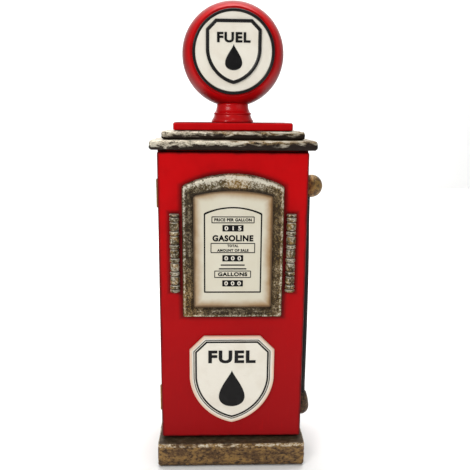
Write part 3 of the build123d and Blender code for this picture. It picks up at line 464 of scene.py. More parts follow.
def dress(names, material):
    """Give CAD nodes a finish."""
    for name in names:
        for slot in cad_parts[name].material_slots:
            slot.material = material


def between(start, end, steps):
    """Even steps from a start towards an end, without the end."""
    return [tuple(a + (b - a) * i / steps for a, b in zip(start, end)) for i in range(steps)]


def rounded_oblong(half_x, half_y, radius, along, across, round_steps):
    """Points round an oblong with rounded corners, equally many whatever its size."""
    points = []
    corners = [(1, -1, -90), (1, 1, 0), (-1, 1, 90), (-1, -1, 180)]
    for index, (sx, sy, start) in enumerate(corners):
        cx, cy = sx * (half_x - radius), sy * (half_y - radius)
        for step in range(round_steps + 1):
            turn = radians(start + 90 * step / round_steps)
            points.append((cx + radius * cos(turn), cy + radius * sin(turn)))
        steps = across if index % 2 == 0 else along
        nx, ny, next_start = corners[(index + 1) % 4]
        turn = radians(next_start)
        end = (nx * (half_x - radius) + radius * cos(turn), ny * (half_y - radius) + radius * sin(turn))
        points += between(points[-1], end, steps)[1:]
    return points


def lumpy_moulding(name, box, edge_r, foot_r, step, plan_r):
    """A slab with a rounded edge as fine rings, filling a node's box."""
    low, high = box
    half_x, half_y, height = (high.x - low.x) / 2, (high.y - low.y) / 2, high.z - low.z
    mid_x, mid_y = (high.x + low.x) / 2, (high.y + low.y) / 2
    quarter = [(1 - sin(pi / 2 * i / 8), 1 - cos(pi / 2 * i / 8)) for i in range(9)]
    profile = [(inset, 0.0) for inset in (half_y - 0.004, half_y * 0.6, 0.02, 0.012, foot_r + 0.004)]
    profile += [(foot_r * a, foot_r * b) for a, b in quarter]
    straight = height - foot_r - edge_r
    levels = max(2, round(straight / step))
    profile += [(0.0, foot_r + straight * i / levels) for i in range(1, levels)]
    profile += [(edge_r * b, height - edge_r * a) for a, b in quarter]
    inset = edge_r
    while inset < 0.022:
        inset += step
        profile.append((inset, height))
    profile += [(half_y * 0.6, height), (half_y - 0.004, height)]
    along, across = round(2 * half_x / step), round(2 * half_y / step)
    rings = [
        [
            (mid_x + x, mid_y + y, low.z + z)
            for x, y in rounded_oblong(half_x - d, half_y - d, max(plan_r - d, 0.0008), along, across, 6)
        ]
        for d, z in profile
    ]
    return skin_rings(name, rings)


def arch_outline(half_w, foot, spring, rise, corner):
    """Points round an arched panel in x and z: a flat foot, upright sides, a curved head."""
    radius = (half_w**2 + rise**2) / (2 * rise)
    centre = spring + rise - radius

    def head(x):
        return centre + (radius**2 - x**2) ** 0.5

    def bend(start, knee, end, steps=8):
        return [
            tuple((1 - t) ** 2 * a + 2 * t * (1 - t) * b + t * t * c for a, b, c in zip(start, knee, end))
            for t in (i / steps for i in range(steps))
        ]

    inner, across = half_w - corner, 60
    right = between((0.0, foot), (inner, foot), 55)
    right += bend((inner, foot), (half_w, foot), (half_w, foot + corner))
    right += between((half_w, foot + corner), (half_w, spring - corner), 150)
    right += bend((half_w, spring - corner), (half_w, spring), (inner, head(inner)))
    right += [(inner * (1 - i / across), head(inner * (1 - i / across))) for i in range(across + 1)]
    return right + [(-x, z) for x, z in right[-2:0:-1]]


def shrink(outline, distance):
    """An outline moved in by a distance, mitred at its corners."""
    moved = []
    count = len(outline)
    for i, (x, z) in enumerate(outline):
        (ax, az), (bx, bz) = outline[i - 1], outline[(i + 1) % count]
        first, second = hypot(x - ax, z - az), hypot(bx - x, bz - z)
        nx, nz = (z - az) / first + (bz - z) / second, -(x - ax) / first - (bx - x) / second
        scale = 2 / (nx * nx + nz * nz)
        moved.append((x - nx * scale * distance, z - nz * scale * distance))
    return moved


def shield_outline(width, height, foot, inset=0.0):
    """Points round a heater shield with clipped shoulders and a pointed foot, moved in by an inset."""
    half_w, top, flank = width / 2, foot + height, foot + height * 0.52
    clip, slant = width * 0.17, inset * (2**0.5 - 1)
    side_x = half_w - inset
    centre, radius = circle_through((half_w, flank), (half_w * 0.72, foot + height * 0.2), (0.0, foot))
    radius -= inset
    above = 1 if flank > centre.y else -1
    hip = Vector((side_x, centre.y + above * (radius**2 - (side_x - centre.x) ** 2) ** 0.5))
    tip = Vector((0.0, centre.y - (radius**2 - centre.x**2) ** 0.5))
    knees = [
        (0.0, top - inset), (half_w - clip - slant, top - inset), (side_x, top - clip - slant), tuple(hip)
    ]
    right = []
    for start, end, steps in zip(knees, knees[1:], (26, 8, 26)):
        right += between(start, end, steps)
    turn, bends = (tip - centre).angle_signed(hip - centre), 44
    right += [
        tuple(centre + Matrix.Rotation(turn * i / bends, 2) @ (hip - centre)) for i in range(bends + 1)
    ]
    mirrored = [(-x, z) for x, z in right[1:-1]]
    return list(reversed(right)) + mirrored


def circle_through(start, middle, end):
    """Centre and radius of the circle through three points."""
    a, b, c = (complex(*point) for point in (start, middle, end))
    w = (c - a) / (b - a)
    centre = a - (a - b) * (w - abs(w) ** 2) / 2j / w.imag
    return Vector((centre.real, centre.imag)), abs(centre - a)


def in_front(outline, y):
    """An outline in x and z stood up at a depth."""
    return [(x, y, z) for x, z in outline]


def raised_plate(name, outline_at, back_y, profile, inner=6):
    """A plate built up from its back by (inset, height) steps, its face as rings to the middle."""
    rings = [in_front(outline_at(inset), back_y - height) for inset, height in profile]
    last = rings[-1]
    mid_x = sum(x for x, _, _ in last) / len(last)
    mid_z = (max(z for _, _, z in last) + min(z for _, _, z in last)) / 2
    for step in range(1, inner + 1):
        share = 1 - step / (inner + 0.6)
        rings.append([(mid_x + (x - mid_x) * share, y, mid_z + (z - mid_z) * share) for x, y, z in last])
    return skin_rings(name, rings)


def printed_line(name, outer, inner, back_y, height):
    """A thin raised line between two matching outlines."""
    rings = [
        in_front(outer, back_y), in_front(outer, back_y - height),
        in_front(inner, back_y - height), in_front(inner, back_y),
    ]
    return skin_rings(name, rings, close=True)


def oblong_outline(x, z, width, height, radius=0.0004):
    """Points round a printed box centred on x and z."""
    points = rounded_oblong(width / 2, height / 2, radius, 4, 4, 3)
    return [(x + dx, z + dz) for dx, dz in points]


def lettering(name, text, x, z, width, height, y, depth, bold=0.0):
    """Raised lettering as a mesh: centred on x and z, and fitted to a width and height."""
    curve = bpy.data.curves.new(name, "FONT")
    curve.body, curve.extrude, curve.offset = text, 0.5, bold
    curve.resolution_u, curve.space_character = 6, 1.12
    holder = link(name, curve)
    bpy.context.view_layer.update()
    mesh = bpy.data.meshes.new_from_object(holder)
    mesh.name = name
    bpy.data.objects.remove(holder)
    bpy.data.curves.remove(curve)
    xs, ys = [v.co.x for v in mesh.vertices], [v.co.y for v in mesh.vertices]
    mid_x, mid_y = (max(xs) + min(xs)) / 2, (max(ys) + min(ys)) / 2
    wide, tall = width / (max(xs) - min(xs)), height / (max(ys) - min(ys))
    for vertex in mesh.vertices:
        a, b, c = vertex.co
        vertex.co = (x + (a - mid_x) * wide, y - (c + 0.5) * depth, z + (b - mid_y) * tall)
    mesh.update()
    return mesh


def drop_outline(x, z, width, height, inset=0.0, steps=72):
    """Points round a fuel drop: pointed head, round foot, moved in by an inset."""
    points = []
    for i in range(steps):
        turn = 2 * pi * i / steps
        across = sin(turn) * sin(turn / 2) ** 1.6
        points.append((x + across * width * 0.62, z + cos(turn) * height / 2))
    return shrink(list(reversed(points)), inset)


class Shield:
    """A raised shield that fills a badge node's box, with a word and a drop on its face."""

    def __init__(self, node, body):
        low, high = corners(node)
        self.node, self.body, self.foot, self.back_y = node, body, low.z, high.y
        self.width, self.height, self.proud = high.x - low.x, high.z - low.z, high.y - low.y

    def outline(self, inset):
        return shield_outline(self.width, self.height, self.foot, inset)

    def plate(self, name, profile, inner, finishes, first_white):
        """Build the plate, with its second finish from a ring inwards and on its back."""
        mesh = raised_plate(name, self.outline, self.back_y, profile, inner)
        place(name, mesh, finishes, self.body, [self.node])
        count = len(self.outline(0))
        for face in mesh.polygons:
            if face.index >= first_white * count:
                face.material_index = 1
        self.face_y = self.back_y - profile[-1][1]

    def word(self, name, finish, middle, width, height, relief):
        """Raise the word: its place and size are shares of the shield's."""
        mesh = lettering(
            name, "FUEL", 0.0, self.foot + self.height * middle, self.width * width, self.height * height,
            self.face_y, relief, bold=0.04,
        )
        place(name, mesh, finish, self.body)

    def drop(self, name, finish, middle, height, relief, shoulder):
        """Raise the drop: its edge is rounded above the shoulder, a share of its relief."""
        z = self.foot + self.height * middle

        def outline(inset):
            return drop_outline(0.0, z, self.width * 0.36, self.height * height, inset)

        profile = [(0, 0), (0, relief * shoulder), (0.0003, relief)]
        mesh = raised_plate(name, outline, self.face_y, profile, inner=4)
        place(name, mesh, finish, self.body)


# ---------------------------------------------------------------- settings
def swatch(label, about, red, green, blue):
    """A colour swatch given as display values from 0 to 255."""
    linear = [
        c / 12.92 if c <= 0.04045 else ((c + 0.055) / 1.055) ** 2.4
        for c in (red / 255, green / 255, blue / 255)
    ]
    return FloatVectorProperty(
        name=label, description=about, subtype="COLOR", size=3, min=0.0, max=1.0, default=linear
    )


def length(label, about, metres):
    """A length setting."""
    return FloatProperty(name=label, description=about, default=metres, unit="LENGTH")


class PumpSizes(bpy.types.PropertyGroup):
    """Sizes of the finishing pieces."""

    hose_diameter: length("Hose diameter", "Outside of the rubber hose", 0.0084)
    hose_length: length("Hose length", "Rubber between its two sockets", 0.2563)
    print_height: length("Print height", "How far printed lines stand proud", 0.00012)
    letter_height: length("Letter relief", "How far the badges' letters stand proud", 0.0005)
    lump_depth: length("Lump depth", "Depth of the mouldings' uneven surface", 0.0008)
    hammer_depth: length("Hammer depth", "Depth of the dial frame's hammering", 0.0005)
    floor_size: length("Floor size", "Side of the pale floor", 6.0)


class PumpColours(bpy.types.PropertyGroup):
    """Colours of the paints, leaf and print; some also serve as painted light and shade."""

    # red_high and red_low are one enamel, painted lighter near the top and darker near the foot as shade
    # from light falling from above
    red_high: swatch("Red, high", "Enamel near the top", 196, 6, 12)
    red_low: swatch("Red, low", "Enamel near the foot", 148, 6, 12)
    red_deep: swatch("Red, thin", "Enamel where it is thin", 142, 5, 10)
    # dark_edges_and_shade darkens the enamel along its edges and is the painted shade round the door's trims
    # and at the globe's rim
    dark_edges_and_shade: swatch("Antique glaze", "Dark glaze along edges", 52, 10, 10)
    leaf_silver: swatch("Silver leaf", "Aged silver leaf", 190, 180, 160)
    leaf_grey: swatch("Grey leaf", "Leaf under grey-brown glaze", 114, 102, 80)
    leaf_gold: swatch("Gold leaf", "Aged gold leaf", 152, 118, 62)
    # pale_leaf_and_highlight is rubbed leaf in the flecks and the painted highlight on the cornices, dial
    # frame, spindles and the plinth's top edge
    pale_leaf_and_highlight: swatch("Pale leaf", "Leaf rubbed bright", 232, 226, 208)
    leaf_olive: swatch("Olive leaf", "Leaf under brown glaze", 86, 73, 46)
    # brown_black is also the painted shade on the cornices' lower halves and in the hollows of the dial
    # frame and spindles
    brown_black: swatch("Brown-black", "Dark undercoat", 32, 22, 15)
    # olive_black is the painted shade on the plinth's level top face
    olive_black: swatch("Olive-black", "Glaze on level surfaces", 58, 48, 34)
    bronze: swatch("Bronze", "Bronze undercoat", 88, 64, 38)
    rust: swatch("Rust", "Rusty bronze", 126, 96, 60)
    card_cream: swatch("Card", "Printed card", 220, 216, 200)
    card_shade: swatch("Card shade", "Card where it has yellowed", 210, 203, 180)
    card_wash: swatch("Card wash", "Brown wash at the card's edge", 160, 116, 54)
    white: swatch("White enamel", "Globe face and badge", 232, 227, 214)
    white_shade: swatch("White shade", "Enamel in the hollows", 218, 209, 192)
    peach: swatch("Peach", "Badge rim", 230, 196, 172)
    black: swatch("Black enamel", "Rings, letters and lines", 10, 9, 9)
    black_worn: swatch("Black, worn", "Black enamel where it is rubbed", 30, 28, 29)
    board: swatch("Board", "Bare fibre board", 176, 138, 96)
    board_dark: swatch("Board fibres", "Darker fibres", 128, 94, 62)
    steel: swatch("Steel", "Zinc plate", 190, 190, 192)
    steel_worn: swatch("Steel, worn", "Dulled zinc", 140, 140, 142)
    brass: swatch("Brass", "Plain brass", 204, 164, 92)
    brass_worn: swatch("Brass, worn", "Dulled brass", 140, 106, 58)
    rubber: swatch("Rubber", "Hose and pad", 13, 12, 12)


# ---------------------------------------------------------------- operators
class PumpOperator(bpy.types.Operator):
    """Shared settings of the pump's operators."""

    bl_options = {"REGISTER"}

    @property
    def sizes(self):
        return bpy.context.scene.pump_sizes

    @property
    def colours(self):
        return bpy.context.scene.pump_colours


class PUMP_OT_stage(PumpOperator):
    """Lay the pale floor, hang the soft lights and set the camera."""

    bl_idname = "pump.stage"
    bl_label = "Stage"

    rear, top = 2.6, 4.0  # the backdrop's place and height
    cabinet, wall = (0, 0, 0.25), (0, rear, 0.6)
    lights = (  # name, place, target, size, watts, colour
        ("key_light", (-0.75, -1.05, 1.05), cabinet, 0.6, 10.5, (1.0, 0.98, 0.95)),
        ("fill_light", (0.95, -0.9, 0.55), cabinet, 1.0, 2.0, (0.96, 0.98, 1.0)),
        ("top_light", (0.1, -0.15, 1.5), cabinet, 0.9, 4.6, (1.0, 1.0, 1.0)),
        ("back_light", (-0.2, 1.3, 1.0), cabinet, 1.2, 1.5, (1.0, 1.0, 1.0)),
        ("wall_light", (0.0, 0.9, 2.6), wall, 2.0, 96.0, (1.0, 1.0, 1.0)),
    )
    world_strength = 0.3
    lens, sensor_width = 42.9, 36.0
    camera_at = (-0.0179, -0.6396, 0.3961)
    camera_turns = ((-1.96, "Z"), (78.17, "X"), (0.49, "Z"))  # degrees and axis, the last nearest the camera

    def execute(self, context):
        half, rear, top = self.sizes.floor_size / 2, self.rear, self.top
        pale = Finish("pale_floor")
        drift = pale.cloud(0.4, detail=2.0)
        pale.base = pale.blend((0.86, 0.86, 0.86), (0.9, 0.9, 0.89), drift)
        pale.coat(Roughness=0.7 + drift * 0.1)
        for name, points in (
            ("floor", [(-half, -half, 0), (half, -half, 0), (half, rear, 0), (-half, rear, 0)]),
            ("backdrop", [(-half, rear, 0), (half, rear, 0), (half, rear, top), (-half, rear, top)]),
        ):
            mesh = bpy.data.meshes.new(name)
            mesh.from_pydata(points, [], [(0, 1, 2, 3)])
            mesh.materials.append(pale.material)
            link(name, mesh)
        for row in self.lights:
            self.light(*row)
        world = bpy.data.worlds.new("studio")
        context.scene.world = world
        world.use_nodes = True
        background = world.node_tree.nodes["Background"]
        background.inputs["Color"].default_value = (1.0, 1.0, 1.0, 1.0)
        background.inputs["Strength"].default_value = self.world_strength
        context.scene.view_settings.view_transform = "Standard"
        view = bpy.data.cameras.new("camera")
        view.lens, view.sensor_width = self.lens, self.sensor_width
        camera = link("camera", view)
        pose = Matrix.Translation(self.camera_at)
        for degrees, axis in self.camera_turns:
            pose = pose @ Matrix.Rotation(radians(degrees), 4, axis)
        camera.matrix_world = pose
        context.scene.camera = camera
        return {"FINISHED"}

    def light(self, name, position, target, size, watts, colour):
        """A square soft light aimed at a target."""
        lamp = bpy.data.lights.new(name, "AREA")
        lamp.size, lamp.energy, lamp.color = size, watts, colour
        holder = link(name, lamp)
        holder.location = position
        holder.rotation_euler = (Vector(target) - holder.location).to_track_quat("-Z", "Y").to_euler()


class PUMP_OT_hose(PumpOperator):
    """Hang the rubber hose between its two fittings."""

    bl_idname = "pump.hose"
    bl_label = "Hose"

    route = (
        (0.0848, -0.0080, 0.3140), (0.0848, -0.0080, 0.2850), (0.0864, -0.0054, 0.2450),
        (0.0874, -0.0034, 0.1970), (0.0876, -0.0038, 0.1470), (0.0867, -0.0080, 0.0970),
        (0.0867, -0.0080, 0.0580),
    )

    def execute(self, context):
        curve = bpy.data.curves.new("rubber_hose", "CURVE")
        curve.dimensions = "3D"
        line = curve.splines.new("NURBS")
        line.points.add(len(self.route) - 1)
        for point, spot in zip(line.points, self.route):
            point.co = (*spot, 1.0)
        line.order_u, line.use_endpoint_u = 3, True
        curve.resolution_u = 24
        curve.bevel_depth, curve.bevel_resolution = self.sizes.hose_diameter / 2, 10
        curve.use_fill_caps = True
        finish = soft_black("hose_rubber", self.colours.rubber, 0.0008, 0.5, ribs=0.0024)
        hose = place("rubber_hose", curve, finish, "cabinet", ["hose"])
        self.route[0]
        return {"FINISHED"}


class PUMP_OT_boards(PumpOperator):
    """Finish the painted boards, the bare back and the inside."""

    bl_idname = "pump.boards"
    bl_label = "Boards"

    frame_reach, spindle_reach = 0.0065, 0.005  # how far the painted shadow spreads from them
    roof_edge, board_edge = 0.0012, 0.0035  # how far the darkening along the edges comes in

    def painted_shade(self, paint):
        """Painted shadow: 1 on the door's front close round the dial frame and the spindles."""
        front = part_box("door_panel")[0][1]
        outside = paint.rise(paint.y, front + 0.002, front + 0.0005)
        low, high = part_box("dial_frame")
        arch = high[2] - paint.x * paint.x * (FRAME_RISE / high[0] ** 2)
        near = paint.least(high[0] - abs(paint.x), paint.z - low[2], arch - paint.z)
        shade = paint.rise(near, -self.frame_reach, 0.0)
        low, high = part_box("right_spindle")
        out = abs(abs(paint.x) - (low[0] + high[0]) / 2)
        near = paint.least((high[0] - low[0]) / 2 - out, paint.z - low[2], high[2] - paint.z)
        return paint.least(shade + paint.rise(near, -self.spindle_reach, 0.0), 1.0) * outside

    def execute(self, context):
        for name in ("door_panel", "left_side", "right_side", "roof_block"):
            low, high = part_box(name)
            across = "y" if name.endswith("side") else "x"
            spans = {"z": (low[2], high[2]), across: (low["xyz".index(across)], high["xyz".index(across)])}
            edge = self.roof_edge if name == "roof_block" else self.board_edge
            painted_shade = self.painted_shade if name == "door_panel" else None
            dress([name], red_enamel("enamel_" + name, self.colours, spans, edge=edge, painted_shade=painted_shade))
        for name in ("floor_panel", "ceiling_panel", "lower_shelf", "upper_shelf"):
            low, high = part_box(name)
            dress([name], red_enamel("enamel_" + name, self.colours, {"x": (low[0], high[0])}))
        dress(["back_panel"], fibre_board("bare_back", self.colours))
        dress(["base_pad"], soft_black("foam_pad", self.colours.rubber, 0.0012, 0.8))
        return {"FINISHED"}


class PUMP_OT_hardware(PumpOperator):
    """Finish the screws, pins, hinges, catch and fittings."""

    bl_idname = "pump.hardware"
    bl_label = "Hardware"

    def execute(self, context):
        paint = self.colours
        zinc = machined("zinc_steel", paint.steel, paint.steel_worn)
        dress([
            "back_screws", "base_screws", "catch_screws", "cornice_screws", "fitting_screws", "globe_bolt",
            "globe_washer", "shelf_pins", "strike_plate", "strike_screws", "trim_screws",
        ], zinc)
        brass = machined("hinge_brass", paint.brass_worn, paint.bronze, rough=0.34, turned=(1, 1, 0.15))
        dress([
            "door_hinge_leaves", "door_hinge_screws", "frame_hinge_leaves", "frame_hinge_screws",
            "globe_insert", "hinge_pins",
        ], brass)
        moulded = soft_black("catch_plastic", (0.03, 0.03, 0.03), 0.0006, 0.45)
        dress(["magnet_catch"], moulded)
        dress(["catch_magnet"], machined("dark_magnet", (0.08, 0.08, 0.085), (0.04, 0.04, 0.04), rough=0.45))
        dress(["hose_outlet"], aged_metal_paint("outlet_brass", paint, paint.leaf_gold, paint.bronze))
        dress(["hose_socket"], aged_metal_paint("socket_bronze", paint, paint.bronze, paint.brown_black))
        return {"FINISHED"}


class PUMP_OT_mouldings(PumpOperator):
    """Build the plinth and the two leafed cornices with their uneven surfaces."""

    bl_idname = "pump.mouldings"
    bl_label = "Plinth and cornices"

    mouldings = (  # node, its edge's radius as a share of its height, slot, ring spacing, finish
        ("lower_cornice", 0.36, "gilt_trim", 0.0011, gilt_moulding),
        ("upper_cornice", 0.36, "gilt_trim", 0.0011, gilt_moulding),
        ("base_plinth", 0.11, "bronze_trim", 0.0016, rusty_bronze),
    )
    lump_size, grain = 0.007, 0.35  # the lumps' size, and the fine grain's share of their depth
    foot_share, plan_extra = 0.8, 0.0005  # foot radius over edge radius, and corner radius past it

    def execute(self, context):
        depth = self.sizes.lump_depth
        for seed, (name, share, slot, step, paint) in enumerate(self.mouldings, 1):
            low, high = corners(name)
            edge_r = (high.z - low.z) * share
            mesh = lumpy_moulding(
                name + "_moulding", (low, high), edge_r, edge_r * self.foot_share, step,
                edge_r + self.plan_extra,
            )
            weather(
                mesh, depth, self.lump_size, seed, lambda point: point.z < low.z + TOUCH, depth * self.grain
            )
            leaf = "leaf_" if slot == "gilt_trim" else "bronze_"
            finish = paint(leaf + name, self.colours, low.z, high.z)
            place(name + "_moulding", mesh, finish, "cabinet", [name])
        return {"FINISHED"}


class PUMP_OT_globe(PumpOperator):
    """Finish the globe, its ring and collar, and build the emblem on its face."""

    bl_idname = "pump.globe"
    bl_label = "Globe"

    collar = (  # radius, height above the roof, in millimetres
        (0.0, 0.0), (23.0, 0.0), (23.3, 0.4), (23.3, 1.6), (22.8, 2.6), (21.9, 4.0), (21.1, 5.6),
        (20.5, 7.2), (20.2, 8.2), (20.5, 8.6), (20.9, 9.2), (20.9, 9.9), (20.4, 10.5), (19.5, 11.0),
        (18.8, 12.4), (18.1, 14.2), (17.6, 16.2), (17.4, 18.2), (17.4, 20.8), (0.0, 20.8),
    )

    shield_profile = (  # inset in millimetres, share of the badge's height
        (0, 0), (0, 0.55), (0.3, 0.8), (0.9, 0.96), (1.6, 1), (2.3, 0.96), (3.0, 0.8), (3.4, 0.62),
        (3.6, 0.5), (4.2, 0.5),
    )

    def turn_collar(self, x, y, foot):
        """The flared collar under the globe, turned round its axis."""
        around = 72
        turns = [2 * pi * i / around for i in range(around)]
        rings = [
            [(x + radius * MM * sin(t), y - radius * MM * cos(t), foot + height * MM) for t in turns]
            for radius, height in self.collar if radius > 0
        ]
        return skin_rings("collar_turning", rings)

    def execute(self, context):
        paint, sizes = self.colours, self.sizes
        low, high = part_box("globe_shell")
        middle_x, middle_z, radius = (low[0] + high[0]) / 2, (low[2] + high[2]) / 2, (high[0] - low[0]) / 2

        # painted shade: the shell's enamel darkens towards its rim
        def rim(paint):
            out = ((paint.x - middle_x) ** 2.0 + (paint.z - middle_z) ** 2.0) ** 0.5
            return paint.rise(out, radius * 0.8, radius)

        dress(["globe_shell"], red_enamel(
            "enamel_globe_shell", paint, {"y": (low[1] - 0.002, high[1] + 0.01)}, streak=(0.3, 1, 1),
            gloss=0.03, glow=0.07, painted_shade=rim,
        ))
        low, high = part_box("neck_collar")
        finish = red_enamel(
            "enamel_neck_collar", paint, {"z": (low[2] - 0.01, high[2] + 0.01)}, streak=(0.3, 1, 1),
            gloss=0.25, glow=0.1,
        )
        mesh = self.turn_collar((low[0] + high[0]) / 2, (low[1] + high[1]) / 2, low[2])
        place("collar_turning", mesh, finish, "cabinet", ["neck_collar"])
        white = worn_enamel("globe_white", paint.white, paint.white_shade, rough=0.34)
        black = worn_enamel(
            "globe_black", paint.black, paint.black_worn, rough=0.24, size=0.01, gloss=0.2, glow=0.2
        )
        dress(["globe_face"], white)
        dress(["globe_bezel"], black)
        shield = Shield("globe_badge", "cabinet")
        profile = [(inset * MM, shield.proud * share) for inset, share in self.shield_profile]
        shield.plate("globe_emblem", profile, 12, [black, white], first_white=8)
        relief = sizes.letter_height
        shield.word("globe_word", black, 0.72, 0.6, 0.16, relief)
        shield.drop("globe_drop", black, 0.415, 0.40, relief, shoulder=0.7)
        return {"FINISHED"}


class PUMP_OT_dial_frame(PumpOperator):
    """Build the hammered, arched frame round the dial."""

    bl_idname = "pump.dial_frame"
    bl_label = "Dial frame"

    stile, sill, head, corner = 0.0119, 0.0100, 0.0105, 0.003
    seat, dent_size = 0.0021, 0.0042  # height of the hidden foot, and size of the hammer's dents
    section = (  # inset from the outside edge, height above the door, in millimetres
        (0.0, 0.0), (0.0, 1.4), (0.0, 2.8), (0.0, 4.2), (0.05, 5.4), (0.35, 6.5), (0.9, 7.4), (1.7, 7.9),
        (2.5, 8.0), (3.2, 7.8), (3.9, 7.4), (4.7, 7.1), (5.5, 7.0), (6.3, 7.0), (7.1, 7.05), (7.9, 7.2),
        (8.7, 7.3), (9.3, 7.1), (9.9, 6.5), (10.5, 5.7), (11.1, 4.9), (11.6, 4.2), (11.9, 3.4),
        (11.9, 2.7), (11.9, 2.0), (8.8, 2.0), (8.8, 0.0),
    )

    def execute(self, context):
        low, high = corners("dial_frame")
        half_w, spring = (high.x - low.x) / 2, high.z - FRAME_RISE
        outer = arch_outline(half_w, low.z, spring, FRAME_RISE, self.corner)
        inner = arch_outline(
            half_w - self.stile, low.z + self.sill, spring - self.head, WINDOW_RISE, self.corner
        )
        rings = []
        for inset, height in self.section:
            share = inset * MM / self.stile
            rings.append([
                (a[0] + (b[0] - a[0]) * share, high.y - height * MM, a[1] + (b[1] - a[1]) * share)
                for a, b in zip(outer, inner)
            ])
        mesh = skin_rings("dial_surround", rings, close=True)
        door_y = high.y
        hammer = self.sizes.hammer_depth
        weather(
            mesh, hammer, self.dent_size, 7, lambda point: point.y > door_y - self.seat, hammer * 0.9
        )

        def gold(paint):
            low_left = paint.rise(paint.x * -1, 0.02, 0.05) * paint.rise(paint.z, 0.26, 0.20)
            crown = paint.rise(abs(paint.x - 0.004), 0.018, 0.006) * paint.rise(paint.z, 0.31, 0.325)
            right = paint.rise(paint.x, 0.03, 0.05) * 0.4
            return paint.least(low_left * 0.8 + crown * 0.9 + right, 1.0)

        # painted highlight on the raised crest and the arch's crown, painted shade on downward faces
        def bright(paint):
            crest = paint.rise(door_y - paint.y, 0.0064, 0.0079)
            crown = paint.rise(paint.z, 0.318, 0.330)
            return crest * 0.85 + crown * 0.6 - paint.rise(paint.facing["Z"], -0.3, -0.9) * 0.6

        # painted shade low on the frame, next to the door
        def hollow(paint):
            return paint.rise(door_y - paint.y, 0.0062, 0.0040)

        finish = speckled_leaf("leaf_dial_surround", self.colours, bright, gold, hollow)
        place("dial_surround", mesh, finish, "door", ["dial_frame"])
        return {"FINISHED"}


class PUMP_OT_dial_card(PumpOperator):
    """Finish the dial card and lay its print: border, boxes, words and counters."""

    bl_idname = "pump.dial_card"
    bl_label = "Dial card"

    lines = (  # words: text, middle height, width and letter height in millimetres
        ("PRICE PER GALLON", 289.4, 40.0, 3.4), ("GASOLINE", 269.3, 44.0, 7.0), ("TOTAL", 261.0, 12.0, 3.0),
        ("AMOUNT OF SALE", 256.0, 34.0, 3.0), ("GALLONS", 229.3, 32.0, 4.4),
    )
    boxes = ((289.4, 46.0, 7.4), (258.6, 48.0, 11.2), (229.3, 40.0, 8.2))
    counters = ((280.3, "0 1 5"), (247.2, "0 0 0"), (219.0, "0 0 0"))
    rules = ((239.6, 26.0), (235.4, 30.0))
    border, border_w, box_line = (31.2, 208.3, 296.5, 6.8), 1.5, 0.95  # half width, foot, spring and rise
    counter, figures_size, rule_h = (22.6, 7.0), (18.0, 4.6), 1.4
    frame_lap, pocket = 0.003, 0.0087  # from the card's foot and top to the window's foot and spring

    def execute(self, context):
        paint = self.colours
        low, high = corners("dial_plate")
        dress(["dial_plate"], aged_card(
            "dial_card", paint, WINDOW_HALF_W, low.z + self.frame_lap, high.z - self.pocket, WINDOW_RISE
        ))
        ink = worn_enamel(
            "dial_ink", paint.black, paint.black_worn, rough=0.5, size=0.006, gloss=0.0, glow=0.15
        )
        pale = worn_enamel("dial_figures", paint.white, paint.white_shade, rough=0.5, gloss=0.0)
        y, height = low.y, self.sizes.print_height

        def print_mesh(name, mesh):
            place(name, mesh, ink, "door")

        def print_bar(name, z, wide, tall, corner):
            outline = oblong_outline(0.0, z * MM, wide * MM, tall * MM, corner)
            print_mesh(name, raised_plate(name, lambda inset: outline, y, [(0, 0), (0, height)], inner=1))

        half_w, foot, spring, rise = (size * MM for size in self.border)
        wide = self.border_w * MM
        outer = arch_outline(half_w, foot, spring, rise, 0.0012)
        inner = arch_outline(half_w - wide, foot + wide, spring - wide, rise, 0.0007)
        print_mesh("dial_border", printed_line("dial_border", outer, inner, y, height))
        for number, (z, wide, tall) in enumerate(self.boxes):
            name, thin = f"dial_box_{number}", self.box_line * 2
            outer = oblong_outline(0.0, z * MM, wide * MM, tall * MM, 0.0008)
            inner = oblong_outline(0.0, z * MM, (wide - thin) * MM, (tall - thin) * MM, 0.0003)
            print_mesh(name, printed_line(name, outer, inner, y, height))
        for number, (text, z, wide, tall) in enumerate(self.lines):
            name = f"dial_word_{number}"
            print_mesh(name, lettering(name, text, 0.0, z * MM, wide * MM, tall * MM, y, height, bold=0.05))
        for number, (z, wide) in enumerate(self.rules):
            print_bar(f"dial_rule_{number}", z, wide, self.rule_h, 0.0003)
        for number, (z, figures) in enumerate(self.counters):
            name = f"dial_counter_{number}"
            print_bar(name, z, *self.counter, 0.0005)
            name += "_figures"
            wide, tall = self.figures_size
            mesh = lettering(
                name, figures, 0.0, z * MM, wide * MM, tall * MM, y - height, height, bold=0.025
            )
            place(name, mesh, pale, "door")
        return {"FINISHED"}


